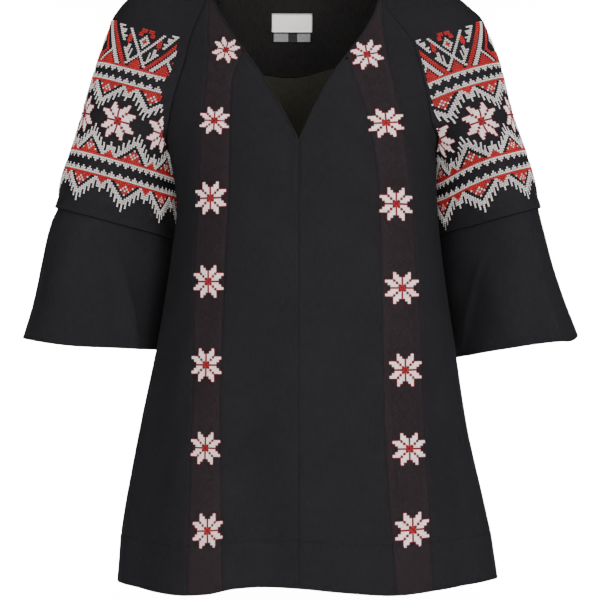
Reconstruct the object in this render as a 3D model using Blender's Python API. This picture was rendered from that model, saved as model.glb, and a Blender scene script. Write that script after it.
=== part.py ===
"""Embroidered folk blouse: an A-line tunic with a V neck, raglan sleeves and flared cuffs of a second piece.

The blouse hangs filled out on nothing, as it is worn. Metres, +Z up, the front faces -Y, and X runs to the
viewer's right. The origin lies midway between the two points where the shoulders meet the neck. Every piece
of cloth is its own closed wall: a grid of points on the garment's form, with a second grid moved in by the
wall. The words left and right are those of a viewer who faces the front.
"""
import math

import bpy
from mathutils import Vector

WALL = 0.0012
SEAM_GAP = 0.0003
EDGE_INSET = 0.0002
LAYER_GAP = 0.0007

HEM_Z = -0.728
ARMPIT_Z = -0.225
NECK_FRONT_Z = -0.040
NECK_BACK_Z = -0.014
NECK_BACK_DROP = 0.011
NECK_DIP_HEIGHT = 0.08
V_BOTTOM_Z = -0.215
V_BOTTOM_X = -0.0015
CENTER_TOP_LEFT_Z = -0.111
CENTER_TOP_RIGHT_Z = -0.1225
ROW_CLEARANCE = 0.003
HALF_TURN = 0.5
SMALL_DROP = 0.001
PLAIN_ROWS = 19
CENTER_STEPS = 8
STRIP_STEPS = 3
SIDE_STEPS = 6
BACK_STEPS = 24

ARM_TILT = math.radians(15.0)
ARMPIT_ROW = 1.0
LIP_ROW = 2.0
CUFF_ROW = 3.0
SLEEVE_STEPS = 12
LIP_FLARE = 0.0016
LIP_DEPTH = 0.14
CUFF_INSET = 0.0013
CUFF_RELEASE = 0.30
ARMPIT_CLEARANCE = 0.0003
ARMPIT_CLOSING_ROW = 0.8

FACING_WALL = 0.0010
FACING_ROWS = 6
FACING_INSET = 0.0012
LABEL_WALL = 0.0010
LABEL_ROWS = 3
LABEL_STEPS = 6
LABEL = {"name": "neck_label", "top": -0.0485, "height": 0.022, "width": 0.050, "center": -0.010}
SIZE_LABEL = {"name": "size_label", "top": -0.0720, "height": 0.010, "width": 0.046, "center": -0.010}

# Half widths and depths of the body at each height, measured from the middle of the neck.
BODY_COLUMNS = ("z", "left", "right", "front", "back")
BODY = (
    (0.010, 0.124, 0.124, 0.036, 0.062),
    (-0.020, 0.140, 0.140, 0.055, 0.076),
    (-0.040, 0.152, 0.152, 0.067, 0.084),
    (-0.080, 0.172, 0.172, 0.085, 0.096),
    (-0.120, 0.183, 0.183, 0.098, 0.104),
    (-0.160, 0.181, 0.183, 0.106, 0.108),
    (-0.195, 0.171, 0.174, 0.110, 0.110),
    (-0.225, 0.156, 0.162, 0.113, 0.111),
    (-0.260, 0.149, 0.162, 0.115, 0.111),
    (-0.292, 0.146, 0.163, 0.117, 0.110),
    (-0.325, 0.150, 0.166, 0.118, 0.110),
    (-0.400, 0.161, 0.175, 0.121, 0.113),
    (-0.460, 0.170, 0.184, 0.126, 0.119),
    (-0.550, 0.188, 0.197, 0.134, 0.131),
    (-0.602, 0.197, 0.207, 0.140, 0.138),
    (-0.670, 0.209, 0.221, 0.147, 0.146),
    (-0.728, 0.215, 0.231, 0.152, 0.152),
)

# Raglan seams, as distances across from the middle of the garment. They end at the body's sides.
RAGLAN_FRONT_COLUMNS = ("z", "left", "right")
RAGLAN_FRONT = (
    (-0.040, 0.1080, 0.0965),
    (-0.057, 0.1130, 0.1005),
    (-0.074, 0.1202, 0.1125),
    (-0.098, 0.1288, 0.1312),
    (-0.122, 0.1340, 0.1385),
    (-0.155, 0.1447, 0.1470),
    (-0.195, 0.1543, 0.1550),
    (-0.212, 0.1575, 0.1620),
    (-0.225, 0.1560, 0.1620),
)
RAGLAN_BACK_COLUMNS = ("z", "left", "right")
RAGLAN_BACK = (
    (-0.014, 0.0880, 0.0860),
    (-0.050, 0.1040, 0.1040),
    (-0.100, 0.1250, 0.1250),
    (-0.150, 0.1420, 0.1430),
    (-0.195, 0.1545, 0.1570),
    (-0.212, 0.1575, 0.1620),
    (-0.225, 0.1560, 0.1620),
)

# Edge of the V neck, as distances across from the middle of the garment.
NECK_COLUMNS = ("z", "left", "right")
NECK = (
    (-0.040, -0.1050, 0.0935),
    (-0.060, -0.0960, 0.0880),
    (-0.085, -0.0815, 0.0760),
    (-0.110, -0.0648, 0.0585),
    (-0.140, -0.0440, 0.0365),
    (-0.175, -0.0228, 0.0168),
    (-0.200, -0.0095, 0.0055),
    (-0.215, -0.0015, -0.0015),
)

# Seams of the two ornament strips, as distances across from the middle of the garment.
STRIP_COLUMNS = ("z", "outer_left", "inner_left", "inner_right", "outer_right")
STRIP = (
    (-0.040, -0.1062, -0.0850, 0.0400, 0.0945),
    (-0.075, -0.1075, -0.0740, 0.0440, 0.0955),
    (-0.107, -0.1078, -0.0662, 0.0505, 0.0998),
    (-0.150, -0.1095, -0.0790, 0.0660, 0.1085),
    (-0.200, -0.1150, -0.0808, 0.0810, 0.1200),
    (-0.270, -0.1195, -0.0822, 0.0915, 0.1290),
    (-0.400, -0.1235, -0.0880, 0.0950, 0.1380),
    (-0.530, -0.1225, -0.0925, 0.0955, 0.1440),
    (-0.640, -0.1235, -0.0900, 0.1010, 0.1480),
    (-0.728, -0.1245, -0.0880, 0.1085, 0.1510),
)

# Soft vertical folds of the body: degrees round it at the start and at the hem, spread, height at the hem.
BODY_FOLD_COLUMNS = ("start_z", "start", "hem", "spread", "height")
BODY_FOLDS = (
    (-0.340, -27.0, -10.0, 11.0, -0.0120),
    (-0.420, -38.0, -38.0, 13.0, 0.0080),
    (-0.400, 24.0, 24.0, 15.0, 0.0080),
    (-0.300, -66.0, -62.0, 9.0, -0.0060),
    (-0.330, 64.0, 58.0, 10.0, -0.0070),
    (-0.300, -84.0, -80.0, 8.0, 0.0040),
    (-0.300, 86.0, 82.0, 8.0, 0.0040),
    (-0.260, 180.0, 180.0, 16.0, -0.0080),
    (-0.360, 146.0, 148.0, 14.0, 0.0090),
    (-0.360, -146.0, -149.0, 14.0, 0.0090),
    (-0.400, 116.0, 114.0, 12.0, -0.0060),
    (-0.400, -116.0, -113.0, 12.0, -0.0060),
)

# How far the hem falls below its level, by degrees round the body from the middle of the front.
HEM_FALL_COLUMNS = ("degrees", "fall")
HEM_FALL = (
    (-90.0, 0.0010),
    (-62.0, 0.0060),
    (-38.0, 0.0085),
    (-29.0, 0.0060),
    (-20.0, -0.0012),
    (-11.0, -0.0033),
    (0.0, -0.0020),
    (10.0, 0.0015),
    (28.0, 0.0068),
    (46.0, 0.0033),
    (66.0, 0.0010),
    (90.0, 0.0000),
    (150.0, 0.0040),
    (180.0, 0.0010),
)
HEM_FALL_START_Z = -0.560

# Outer line of the sleeves. Row 0 is the neckline, 1 the armpit, 2 the lip of the upper sleeve, 3 the cuff.
OUTER_COLUMNS = ("row", "left", "right", "z", "y")
OUTER = (
    (0.00, 0.1105, 0.1035, 0.0000, 0.005),
    (0.05, 0.1300, 0.1230, -0.0075, 0.004),
    (0.10, 0.1580, 0.1500, -0.0190, 0.003),
    (0.15, 0.1842, 0.1722, -0.0312, 0.002),
    (0.20, 0.2051, 0.1906, -0.0431, 0.001),
    (0.25, 0.2159, 0.2049, -0.0554, 0.000),
    (0.30, 0.2226, 0.2156, -0.0655, 0.000),
    (0.40, 0.2297, 0.2247, -0.0850, 0.000),
    (0.60, 0.2427, 0.2387, -0.1240, 0.000),
    (0.80, 0.2537, 0.2477, -0.1610, 0.000),
    (1.00, 0.2650, 0.2590, -0.1966, 0.000),
    (1.33, 0.2747, 0.2692, -0.2275, 0.000),
    (1.66, 0.2837, 0.2777, -0.2600, 0.000),
    (2.00, 0.2888, 0.2848, -0.2905, 0.000),
    (2.11, 0.2948, 0.2882, -0.3048, 0.000),
    (2.25, 0.2995, 0.2923, -0.3230, 0.000),
    (2.50, 0.3073, 0.2999, -0.3560, 0.000),
    (2.75, 0.3168, 0.3124, -0.3970, 0.000),
    (3.00, 0.3297, 0.3297, -0.4415, 0.000),
)

# How each sleeve section is rounded: where it turns in at the body's side and how far its curves reach.
ROUND_COLUMNS = (
    "row", "inner_left", "inner_right", "inner_y", "slant", "lean",
    "seam_front", "outer_front", "seam_back", "outer_back",
)
ROUND = (
    (0.00, 0.1563, 0.1623, 0.000, 6.0, 0.00, 0.018, 0.022, 0.018, 0.020),
    (0.20, 0.1563, 0.1623, 0.000, 6.0, 0.05, 0.050, 0.046, 0.050, 0.044),
    (0.40, 0.1563, 0.1623, 0.000, 6.0, 0.10, 0.054, 0.056, 0.054, 0.052),
    (0.60, 0.1563, 0.1623, 0.000, 6.0, 0.22, 0.054, 0.076, 0.054, 0.072),
    (0.80, 0.1563, 0.1623, 0.000, 6.0, 0.42, 0.055, 0.085, 0.055, 0.084),
    (0.90, 0.1563, 0.1623, 0.000, 6.0, 0.66, 0.052, 0.082, 0.053, 0.081),
    (0.95, 0.1563, 0.1623, 0.000, 6.0, 0.86, 0.064, 0.083, 0.066, 0.084),
    (1.00, 0.1563, 0.1623, 0.000, 6.0, 1.00, 0.084, 0.086, 0.086, 0.088),
    (1.14, 0.1515, 0.1620, 0.028, 7.0, 1.00, 0.100, 0.096, 0.064, 0.076),
    (1.33, 0.1470, 0.1595, 0.044, 8.0, 1.00, 0.110, 0.104, 0.054, 0.070),
    (1.66, 0.1450, 0.1590, 0.050, 9.0, 1.00, 0.113, 0.106, 0.053, 0.068),
    (2.00, 0.1450, 0.1600, 0.050, 10.0, 1.00, 0.114, 0.108, 0.054, 0.068),
    (2.50, 0.1505, 0.1660, 0.052, 9.0, 1.00, 0.120, 0.116, 0.062, 0.076),
    (3.00, 0.1625, 0.1770, 0.054, 6.0, 1.00, 0.128, 0.126, 0.074, 0.088),
)
CUFF_RISE_LEFT = 0.0255
CUFF_RISE_RIGHT = 0.014

# Folds of the flared cuffs: place round the cuff from -1, at the front inner side, to 1, spread and height.
CUFF_FOLD_COLUMNS = ("side", "start", "hem", "spread", "height")
CUFF_FOLDS = (
    (-1, -0.55, -0.72, 0.09, 0.0060),
    (-1, -0.42, -0.56, 0.09, -0.0040),
    (-1, 0.45, 0.50, 0.16, -0.0080),
    (1, -0.20, -0.30, 0.08, 0.0040),
    (1, -0.31, -0.42, 0.09, -0.0035),
    (1, -0.52, -0.85, 0.12, -0.0080),
    (1, 0.40, 0.46, 0.15, -0.0080),
)

# How far the cuffs' hems fall below their level, by place round the cuff.
CUFF_DROP_COLUMNS = ("side", "place", "spread", "drop")
CUFF_DROPS = (
    (-1, -0.42, 0.26, 0.0048),
    (-1, -0.05, 0.20, 0.0020),
    (1, -0.20, 0.12, 0.0042),
    (1, -0.90, 0.16, 0.0018),
)

# Rows of the two tables of seams that the raglan part of a sleeve shares with the panels beside it.
RAGLAN_ROWS = (0.0, 0.06, 0.12, 0.19, 0.26, 0.34, 0.43, 0.53, 0.63, 0.73, 0.83, 0.92, 1.0)
TUBE_ROWS = (1.2, 1.4, 1.6, 1.78, 1.86, 2.0)
CUFF_ROWS = (1.93, 2.02, 2.15, 2.3, 2.5, 2.7, 2.86, 3.0)


def column(table, names, name, at):
    """Value of one column of a table at a place between its rows, on a curve that never overshoots them."""
    index = names.index(name)
    rows = sorted(table)
    if at <= rows[0][0]:
        return rows[0][index]
    if at >= rows[-1][0]:
        return rows[-1][index]
    k = max(i for i in range(len(rows) - 1) if rows[i][0] <= at)

    def slope(i):
        """Rise of the column from row i to the next."""
        return (rows[i + 1][index] - rows[i][index]) / (rows[i + 1][0] - rows[i][0])

    def tangent(i):
        """Slope of the curve at row i."""
        if i == 0:
            return slope(0)
        if i == len(rows) - 1:
            return slope(i - 1)
        before, after = slope(i - 1), slope(i)
        return 0.0 if before * after <= 0.0 else 2.0 * before * after / (before + after)

    step = rows[k + 1][0] - rows[k][0]
    s = (at - rows[k][0]) / step
    start, end = rows[k][index], rows[k + 1][index]
    return (
        start * (1 + 2 * s) * (1 - s) ** 2
        + end * s * s * (3 - 2 * s)
        + step * tangent(k) * s * (1 - s) ** 2
        - step * tangent(k + 1) * s * s * (1 - s)
    )


def ease(value):
    """Smooth step from 0 to 1."""
    value = min(1.0, max(0.0, value))
    return value * value * (3.0 - 2.0 * value)


def turn_between(first, second):
    """Signed angle in degrees from the second to the first, between -180 and 180."""
    return (first - second + 180.0) % 360.0 - 180.0


def half_width(z, side):
    """Half width of the body at a height: side is -1 on the left and 1 on the right."""
    return column(BODY, BODY_COLUMNS, "left" if side < 0 else "right", z)


def body_fold(z, degrees):
    """Height of the body's folds at a place on it."""
    height = 0.0
    for start_z, start, hem, spread, rise in BODY_FOLDS:
        run = (start_z - z) / (start_z - HEM_Z)
        middle = start + (hem - start) * max(0.0, run)
        height += rise * ease(run) * math.exp(-((turn_between(degrees, middle) / spread) ** 2))
    return height


def hem_fall(z, degrees):
    """How far the cloth at a place near the hem falls below its level."""
    round_front = turn_between(degrees, 0.0)
    if round_front < -90.0:
        round_front = -round_front
    share = ease((HEM_FALL_START_Z - z) / (HEM_FALL_START_Z - HEM_Z))
    return share * column(HEM_FALL, HEM_FALL_COLUMNS, "fall", round_front)


def body_base(z, degrees):
    """Point of the smooth body form at a height and an angle from the middle of the front."""
    angle = math.radians(degrees)
    width = half_width(z, -1 if math.sin(angle) < 0 else 1)
    depth = column(BODY, BODY_COLUMNS, "front" if math.cos(angle) > 0 else "back", z)
    return Vector((width * math.sin(angle), -depth * math.cos(angle), z - hem_fall(z, degrees)))


def body_point(z, degrees, lift=0.0):
    """Point of the body's outer face, with its folds, moved out by lift."""
    across = body_base(z, degrees + HALF_TURN) - body_base(z, degrees - HALF_TURN)
    up = body_base(z + SMALL_DROP, degrees) - body_base(z - SMALL_DROP, degrees)
    return body_base(z, degrees) + across.cross(up).normalized() * (lift + body_fold(z, degrees))


def degrees_of(z, x):
    """Angle round the body of a distance across its front."""
    width = half_width(z, -1 if x < 0 else 1)
    return math.degrees(math.asin(max(-1.0, min(1.0, x / width))))


def inset_degrees(z, degrees, amount):
    """Angle moved by an amount of cloth, in metres."""
    turned = (body_base(z, degrees + HALF_TURN) - body_base(z, degrees - HALF_TURN)).length
    return degrees + 2.0 * HALF_TURN * amount / turned


def raglan_front(z, side):
    """Angle of the front raglan seam, or of the side seam below the armpit."""
    if z <= ARMPIT_Z + 1e-6:
        return 90.0 * side
    x = column(RAGLAN_FRONT, RAGLAN_FRONT_COLUMNS, "left" if side < 0 else "right", z)
    return degrees_of(z, side * x)


def raglan_back(z, side):
    """Angle of the back raglan seam, or of the side seam below the armpit."""
    if z <= ARMPIT_Z + 1e-6:
        return 90.0 * side
    x = column(RAGLAN_BACK, RAGLAN_BACK_COLUMNS, "left" if side < 0 else "right", z)
    return 180.0 * side - degrees_of(z, side * x)


def front_seam_z(row):
    """Height of the front raglan seam at a row of the sleeve."""
    return NECK_FRONT_Z + (ARMPIT_Z - NECK_FRONT_Z) * row


def back_seam_z(row):
    """Height of the back raglan seam at a row of the sleeve."""
    return NECK_BACK_Z + (ARMPIT_Z - NECK_BACK_Z) * row


def plain_levels():
    """Heights of the rows from the hem to just below the armpit."""
    return [HEM_Z + (ARMPIT_Z - HEM_Z) * i / PLAIN_ROWS for i in range(PLAIN_ROWS)]


def front_levels():
    """Heights of the rows of the front pieces, from the hem to the neck."""
    return plain_levels() + [front_seam_z(row) for row in reversed(RAGLAN_ROWS)]


def grid_normals(grid, first_closed_row):
    """Unit normals of a grid of points, rows by columns, that closes on itself from one row on."""
    normals = []
    last_row, last = len(grid) - 1, len(grid[0]) - 1
    for j, row in enumerate(grid):
        above, below = grid[max(0, j - 1)], grid[min(last_row, j + 1)]
        line = []
        for i in range(last + 1):
            if j >= first_closed_row and i in (0, last):
                across = row[1] - row[last - 1]
                along = (below[0] - above[0]) + (below[last] - above[last])
            else:
                across = row[min(last, i + 1)] - row[max(0, i - 1)]
                along = below[i] - above[i]
            line.append(along.cross(across).normalized())
        normals.append(line)
    return normals


def finish_piece(name, vertices, faces, color, roughness):
    """Adds one closed piece with its own cloth material."""
    mesh = bpy.data.meshes.new(name)
    mesh.from_pydata([tuple(v) for v in vertices], [], faces)
    mesh.update()
    mesh.shade_smooth()
    mesh.set_sharp_from_angle(angle=math.radians(50.0))
    material = bpy.data.materials.new(name + "_cloth")
    material.use_nodes = True
    shader = material.node_tree.nodes["Principled BSDF"]
    shader.inputs["Base Color"].default_value = (*color, 1.0)
    shader.inputs["Roughness"].default_value = roughness
    mesh.materials.append(material)
    piece = bpy.data.objects.new(name, mesh)
    bpy.context.scene.collection.objects.link(piece)


def add_wall(name, grid, wall, color, roughness=0.85, first_closed_row=None):
    """Adds a cloth wall: the grid is its outer face, and rows from first_closed_row on are closed rings."""
    rows, columns = len(grid), len(grid[0])
    closed_from = rows + 1 if first_closed_row is None else first_closed_row
    normals = grid_normals(grid, closed_from)
    vertices, index = [], {}
    for face_side in (0, 1):
        for j in range(rows):
            for i in range(columns):
                if j >= closed_from and i == columns - 1:
                    index[face_side, j, i] = index[face_side, j, 0]
                    continue
                index[face_side, j, i] = len(vertices)
                vertices.append(grid[j][i] - normals[j][i] * (wall * face_side))
    faces = []
    for j in range(rows - 1):
        for i in range(columns - 1):
            corners = ((j, i), (j + 1, i), (j + 1, i + 1), (j, i + 1))
            faces.append([index[0, a, b] for a, b in corners])
            faces.append([index[1, a, b] for a, b in reversed(corners)])
        if j < closed_from:
            faces.append([index[0, j + 1, 0], index[0, j, 0], index[1, j, 0], index[1, j + 1, 0]])
            far = columns - 1
            faces.append([index[0, j, far], index[0, j + 1, far], index[1, j + 1, far], index[1, j, far]])
    for i in range(columns - 1):
        faces.append([index[0, 0, i], index[0, 0, i + 1], index[1, 0, i + 1], index[1, 0, i]])
        end = rows - 1
        faces.append([index[0, end, i + 1], index[0, end, i], index[1, end, i], index[1, end, i + 1]])
    finish_piece(name, vertices, faces, color, roughness)


def panel_grid(levels, left_edge, right_edge, columns):
    """Grid on the body between two edges, each an angle that depends on the height, from the top down."""
    grid = []
    for z in sorted(levels, reverse=True):
        left = inset_degrees(z, left_edge(z), EDGE_INSET)
        right = inset_degrees(z, right_edge(z), -EDGE_INSET)
        grid.append([body_point(z, left + (right - left) * i / columns) for i in range(columns + 1)])
    return grid


def strip_edge(name):
    """Edge of an ornament strip as a function of the height."""
    return lambda z: degrees_of(z, column(STRIP, STRIP_COLUMNS, name, z))


def neck_edge(side):
    """Edge of the V neck as a function of the height, and the middle seam below it."""
    def edge(z):
        """Angle of the edge at a height."""
        if z <= V_BOTTOM_Z:
            return degrees_of(z, V_BOTTOM_X)
        return degrees_of(z, column(NECK, NECK_COLUMNS, "left" if side < 0 else "right", z))
    return edge


def add_front(color):
    """Adds the two middle panels, the two ornament strips and the two side panels of the front."""
    levels = front_levels()
    left_levels = [z for z in levels if z < CENTER_TOP_LEFT_Z - ROW_CLEARANCE] + [CENTER_TOP_LEFT_Z]
    right_levels = [z for z in levels if z < CENTER_TOP_RIGHT_Z - ROW_CLEARANCE] + [CENTER_TOP_RIGHT_Z]
    left_middle = panel_grid(left_levels, strip_edge("inner_left"), neck_edge(-1), CENTER_STEPS)
    right_middle = panel_grid(right_levels, neck_edge(1), strip_edge("inner_right"), CENTER_STEPS)
    add_wall("front_center_left", left_middle, WALL, color)
    add_wall("front_center_right", right_middle, WALL, color)

    def left_inner(z):
        """The left strip's inner edge: its seam, or the edge of the neck above the middle panel."""
        return min(strip_edge("inner_left")(z), neck_edge(-1)(z))

    def right_inner(z):
        """The right strip's inner edge: its seam, or the edge of the neck above the middle panel."""
        return max(strip_edge("inner_right")(z), neck_edge(1)(z))

    left_strip = panel_grid(levels, strip_edge("outer_left"), left_inner, STRIP_STEPS)
    right_strip = panel_grid(levels, right_inner, strip_edge("outer_right"), STRIP_STEPS)
    left_side = panel_grid(levels, lambda z: raglan_front(z, -1), strip_edge("outer_left"), SIDE_STEPS)
    right_side = panel_grid(levels, strip_edge("outer_right"), lambda z: raglan_front(z, 1), SIDE_STEPS)
    add_wall("front_strip_left", left_strip, WALL, color)
    add_wall("front_strip_right", right_strip, WALL, color)
    add_wall("side_front_left", left_side, WALL, color)
    add_wall("side_front_right", right_side, WALL, color)


def back_grid(levels, lift, inset):
    """Grid over the back from its right-hand seam to its left-hand seam, with the neck edge dipping."""
    grid = []
    for z in sorted(levels, reverse=True):
        line = []
        for i in range(BACK_STEPS + 1):
            share = i / BACK_STEPS
            dip = NECK_BACK_DROP * ease(1.0 - abs(2.0 * share - 1.0))
            dip *= ease(1.0 - (NECK_BACK_Z - z) / NECK_DIP_HEIGHT)
            height = z - dip
            right = inset_degrees(height, raglan_back(height, 1), inset)
            left = 360.0 + inset_degrees(height, raglan_back(height, -1), -inset)
            line.append(body_point(height, right + (left - right) * share, lift))
        grid.append(line)
    return grid


def add_back(color, facing_color):
    """Adds the back and the neck facing that lies on its inner side."""
    levels = plain_levels() + [back_seam_z(row) for row in reversed(RAGLAN_ROWS)]
    add_wall("back", back_grid(levels, 0.0, EDGE_INSET), WALL, color)
    facing_levels = [back_seam_z(row) for row in RAGLAN_ROWS[:FACING_ROWS + 1]]
    facing = back_grid(facing_levels, -(WALL + SEAM_GAP), FACING_INSET)
    add_wall("back_neck_facing", facing, FACING_WALL, facing_color)


def add_label(label, color):
    """Adds one woven label that lies on the facing's inner side."""
    lift = -(WALL + SEAM_GAP + FACING_WALL + LAYER_GAP)
    grid = []
    for j in range(LABEL_ROWS + 1):
        z = label["top"] - label["height"] * j / LABEL_ROWS
        depth = column(BODY, BODY_COLUMNS, "back", z)
        line = []
        for i in range(LABEL_STEPS + 1):
            x = label["center"] + label["width"] * (0.5 - i / LABEL_STEPS)
            angle = 180.0 - math.degrees(x / depth) * depth / half_width(z, 1)
            line.append(body_point(z, angle, lift))
        grid.append(line)
    add_wall(label["name"], grid, LABEL_WALL, color, roughness=0.7)


def sleeve_value(table_name, name, row):
    """Value of the sleeve's outer line or rounding at a row."""
    if table_name == "outer":
        return column(OUTER, OUTER_COLUMNS, name, row)
    return column(ROUND, ROUND_COLUMNS, name, row)


def outer_point(side, row):
    """Point of a sleeve's outer line."""
    name = "left" if side < 0 else "right"
    across, back, up = (sleeve_value("outer", key, row) for key in (name, "y", "z"))
    return Vector((side * across, back, up))


def inner_point(side, row):
    """Point of a sleeve's inner line below the armpit, in the plane square to the arm at that row."""
    outer = outer_point(side, row)
    x = sleeve_value("round", "inner_left" if side < 0 else "inner_right", row)
    rise = (CUFF_RISE_LEFT if side < 0 else CUFF_RISE_RIGHT) * ease(row - LIP_ROW)
    z = outer.z - (abs(outer.x) - x) * math.tan(ARM_TILT) + rise
    return Vector((side * x, sleeve_value("round", "inner_y", row), z))


def seam_end(side, row, front):
    """End of a sleeve's section on a raglan seam, with the direction in which the section leaves it."""
    outer = outer_point(side, row)
    slant = math.radians(sleeve_value("round", "slant", row))
    turn = -1.0 if front else 1.0
    away = Vector((side * math.sin(slant), turn * math.cos(slant), math.sin(slant) * math.tan(ARM_TILT)))
    if row >= ARMPIT_ROW:
        return inner_point(side, row), away.normalized()
    z = front_seam_z(row) if front else back_seam_z(row)
    seam = raglan_front(z, side) if front else raglan_back(z, side)
    degrees = inset_degrees(z, seam, EDGE_INSET * side * (1.0 if front else -1.0))
    end = body_point(z, degrees)
    closing = ease((row - ARMPIT_CLOSING_ROW) / (ARMPIT_ROW - ARMPIT_CLOSING_ROW))
    end += Vector((side * ARMPIT_CLEARANCE * closing, 0.0, 0.0))
    normal = (body_point(z, degrees, WALL) - body_point(z, degrees)).normalized()
    reach = outer - end
    along = (reach - normal * reach.dot(normal)).normalized()
    lean = sleeve_value("round", "lean", row)
    return end, (along * (1.0 - lean) + away.normalized() * lean).normalized()


def sleeve_base(side, row, place):
    """Point of a sleeve: place is -1 at the front seam, 0 at the outer line and 1 at the back seam."""
    front = place <= 0.0
    end, leaving = seam_end(side, row, front)
    outer = outer_point(side, row)
    turn = -1.0 if front else 1.0
    half = "front" if front else "back"
    first = end + leaving * sleeve_value("round", "seam_" + half, row)
    second = outer + Vector((0.0, turn * sleeve_value("round", "outer_" + half, row), 0.0))
    s = 1.0 - abs(place)
    point = end * (1 - s) ** 3 + first * 3 * s * (1 - s) ** 2 + second * 3 * s * s * (1 - s) + outer * s ** 3
    point.z -= cuff_drop(side, row, place)
    return point


def cuff_drop(side, row, place):
    """How far a cuff falls below its level at a place near its hem."""
    drop = 0.0
    for drop_side, middle, spread, depth in CUFF_DROPS:
        if drop_side == side:
            drop += depth * math.exp(-(((place - middle) / spread) ** 2))
    return drop * ease((row - LIP_ROW) / (CUFF_ROW - LIP_ROW))


def cuff_fold(side, row, place):
    """Height of the cuff's folds at a place on it."""
    run = (row - LIP_ROW) / (CUFF_ROW - LIP_ROW)
    height = 0.0
    for fold_side, start, hem, spread, rise in CUFF_FOLDS:
        if fold_side == side:
            middle = start + (hem - start) * max(0.0, run)
            height += rise * ease(run) * math.exp(-(((place - middle) / spread) ** 2))
    return height


def sleeve_grid(side, rows, lift):
    """Grid of a sleeve from the top down, with the cuff's folds, moved out by a lift for each row."""
    places = [-1.0 + i / SLEEVE_STEPS for i in range(2 * SLEEVE_STEPS + 1)]
    grid = [[sleeve_base(side, row, place) for place in places] for row in rows]
    if side < 0:
        grid = [list(reversed(line)) for line in grid]
        places = list(reversed(places))
    closed_from = min(j for j, row in enumerate(rows) if row >= ARMPIT_ROW)
    normals = grid_normals(grid, closed_from)
    return [
        [
            grid[j][i] + normals[j][i] * (lift(row) + cuff_fold(side, row, place))
            for i, place in enumerate(places)
        ]
        for j, row in enumerate(rows)
    ], closed_from


def lip_lift(row):
    """How far the turned hem of the upper sleeve stands off the cuff below it."""
    return LIP_FLARE * ease((row - (LIP_ROW - LIP_DEPTH)) / LIP_DEPTH)


def cuff_lift(row):
    """How far the cuff lies inside the sleeve's form, so that its top fits under the lip."""
    return -CUFF_INSET * (1.0 - ease((row - LIP_ROW) / CUFF_RELEASE))


def add_sleeves(color):
    """Adds the two upper sleeves and the two flared lower sleeves."""
    for side, word in ((-1, "left"), (1, "right")):
        upper, closed_from = sleeve_grid(side, RAGLAN_ROWS + TUBE_ROWS, lip_lift)
        add_wall("sleeve_upper_" + word, upper, WALL, color, first_closed_row=closed_from)
        lower, closed_from = sleeve_grid(side, CUFF_ROWS, cuff_lift)
        add_wall("sleeve_lower_" + word, lower, WALL, color, first_closed_row=closed_from)


def main():
    """Builds the blouse, one piece of cloth after another."""
    for item in list(bpy.data.objects):
        bpy.data.objects.remove(item)
    black_cloth = (0.020, 0.019, 0.022)
    facing_cloth = (0.009, 0.008, 0.009)
    label_white = (0.62, 0.60, 0.57)
    size_grey = (0.12, 0.12, 0.12)
    add_front(black_cloth)
    add_back(black_cloth, facing_cloth)
    add_sleeves(black_cloth)
    add_label(LABEL, label_white)
    add_label(SIZE_LABEL, size_grey)


if __name__ == "__main__":
    main()
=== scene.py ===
"""Embroidered folk blouse: its looks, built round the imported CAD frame.

Metres, +Z up, the front faces -Y and X runs to the viewer's right, as in the frame. The words left and
right are those of a viewer who faces the front. Each piece of cloth is a fine shell on the same form as its
solid, with the seams, hems and soft creases that the solid leaves out, and the embroidery is raised thread.
"""

import logging
import math
from dataclasses import dataclass
from enum import Enum
from functools import cache
from typing import Callable, Sequence

import bpy
import numpy as np
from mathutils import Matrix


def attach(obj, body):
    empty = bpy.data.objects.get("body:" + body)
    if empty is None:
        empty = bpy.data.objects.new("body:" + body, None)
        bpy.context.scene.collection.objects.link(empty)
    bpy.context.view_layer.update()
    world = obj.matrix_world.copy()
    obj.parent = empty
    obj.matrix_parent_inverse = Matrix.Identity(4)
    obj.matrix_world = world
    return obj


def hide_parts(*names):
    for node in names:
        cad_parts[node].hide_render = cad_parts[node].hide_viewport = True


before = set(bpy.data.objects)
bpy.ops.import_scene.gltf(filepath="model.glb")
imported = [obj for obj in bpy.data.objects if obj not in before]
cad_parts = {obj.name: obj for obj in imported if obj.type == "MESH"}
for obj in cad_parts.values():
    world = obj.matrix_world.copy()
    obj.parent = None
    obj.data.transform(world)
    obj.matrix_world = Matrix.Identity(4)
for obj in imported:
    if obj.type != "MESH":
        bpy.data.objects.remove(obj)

log = logging.getLogger("blouse")

BODY = "root"
WALL = 0.0012
FACING_WALL = 0.0010
LABEL_WALL = 0.0007
SEAM_GAP = 0.0003
HEM_Z = -0.728
HEM_DEPTH = 0.054
ARMPIT_Z = -0.225
NECK_FRONT_Z = -0.040
NECK_BACK_Z = -0.014
NECK_BACK_DROP = 0.011
NECK_DIP_HEIGHT = 0.08
V_BOTTOM_Z = -0.215
V_BOTTOM_X = -0.0015
CENTER_TOP_Z = {-1: -0.111, 1: -0.1225}
ARM_TILT = math.radians(15.0)
ARM_MIDDLE_X = 0.205
# A sleeve's rows count from 0 at the neck.
ARMPIT_ROW = 1.0
LIP_ROW = 2.0
CUFF_ROW = 3.0
CUFF_TOP_ROW = 1.93


def ease(value: np.ndarray) -> np.ndarray:
    """Smooth step from 0 to 1."""
    value = np.clip(value, 0.0, 1.0)
    return value * value * (3.0 - 2.0 * value)


def unit(vectors: np.ndarray) -> np.ndarray:
    """Vectors brought to length 1 along their last axis."""
    return vectors / np.maximum(np.linalg.norm(vectors, axis=-1, keepdims=True), 1e-12)


def turn_between(first: np.ndarray, second: np.ndarray) -> np.ndarray:
    """Signed angle in degrees from the second to the first, between -180 and 180."""
    return (first - second + 180.0) % 360.0 - 180.0


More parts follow.
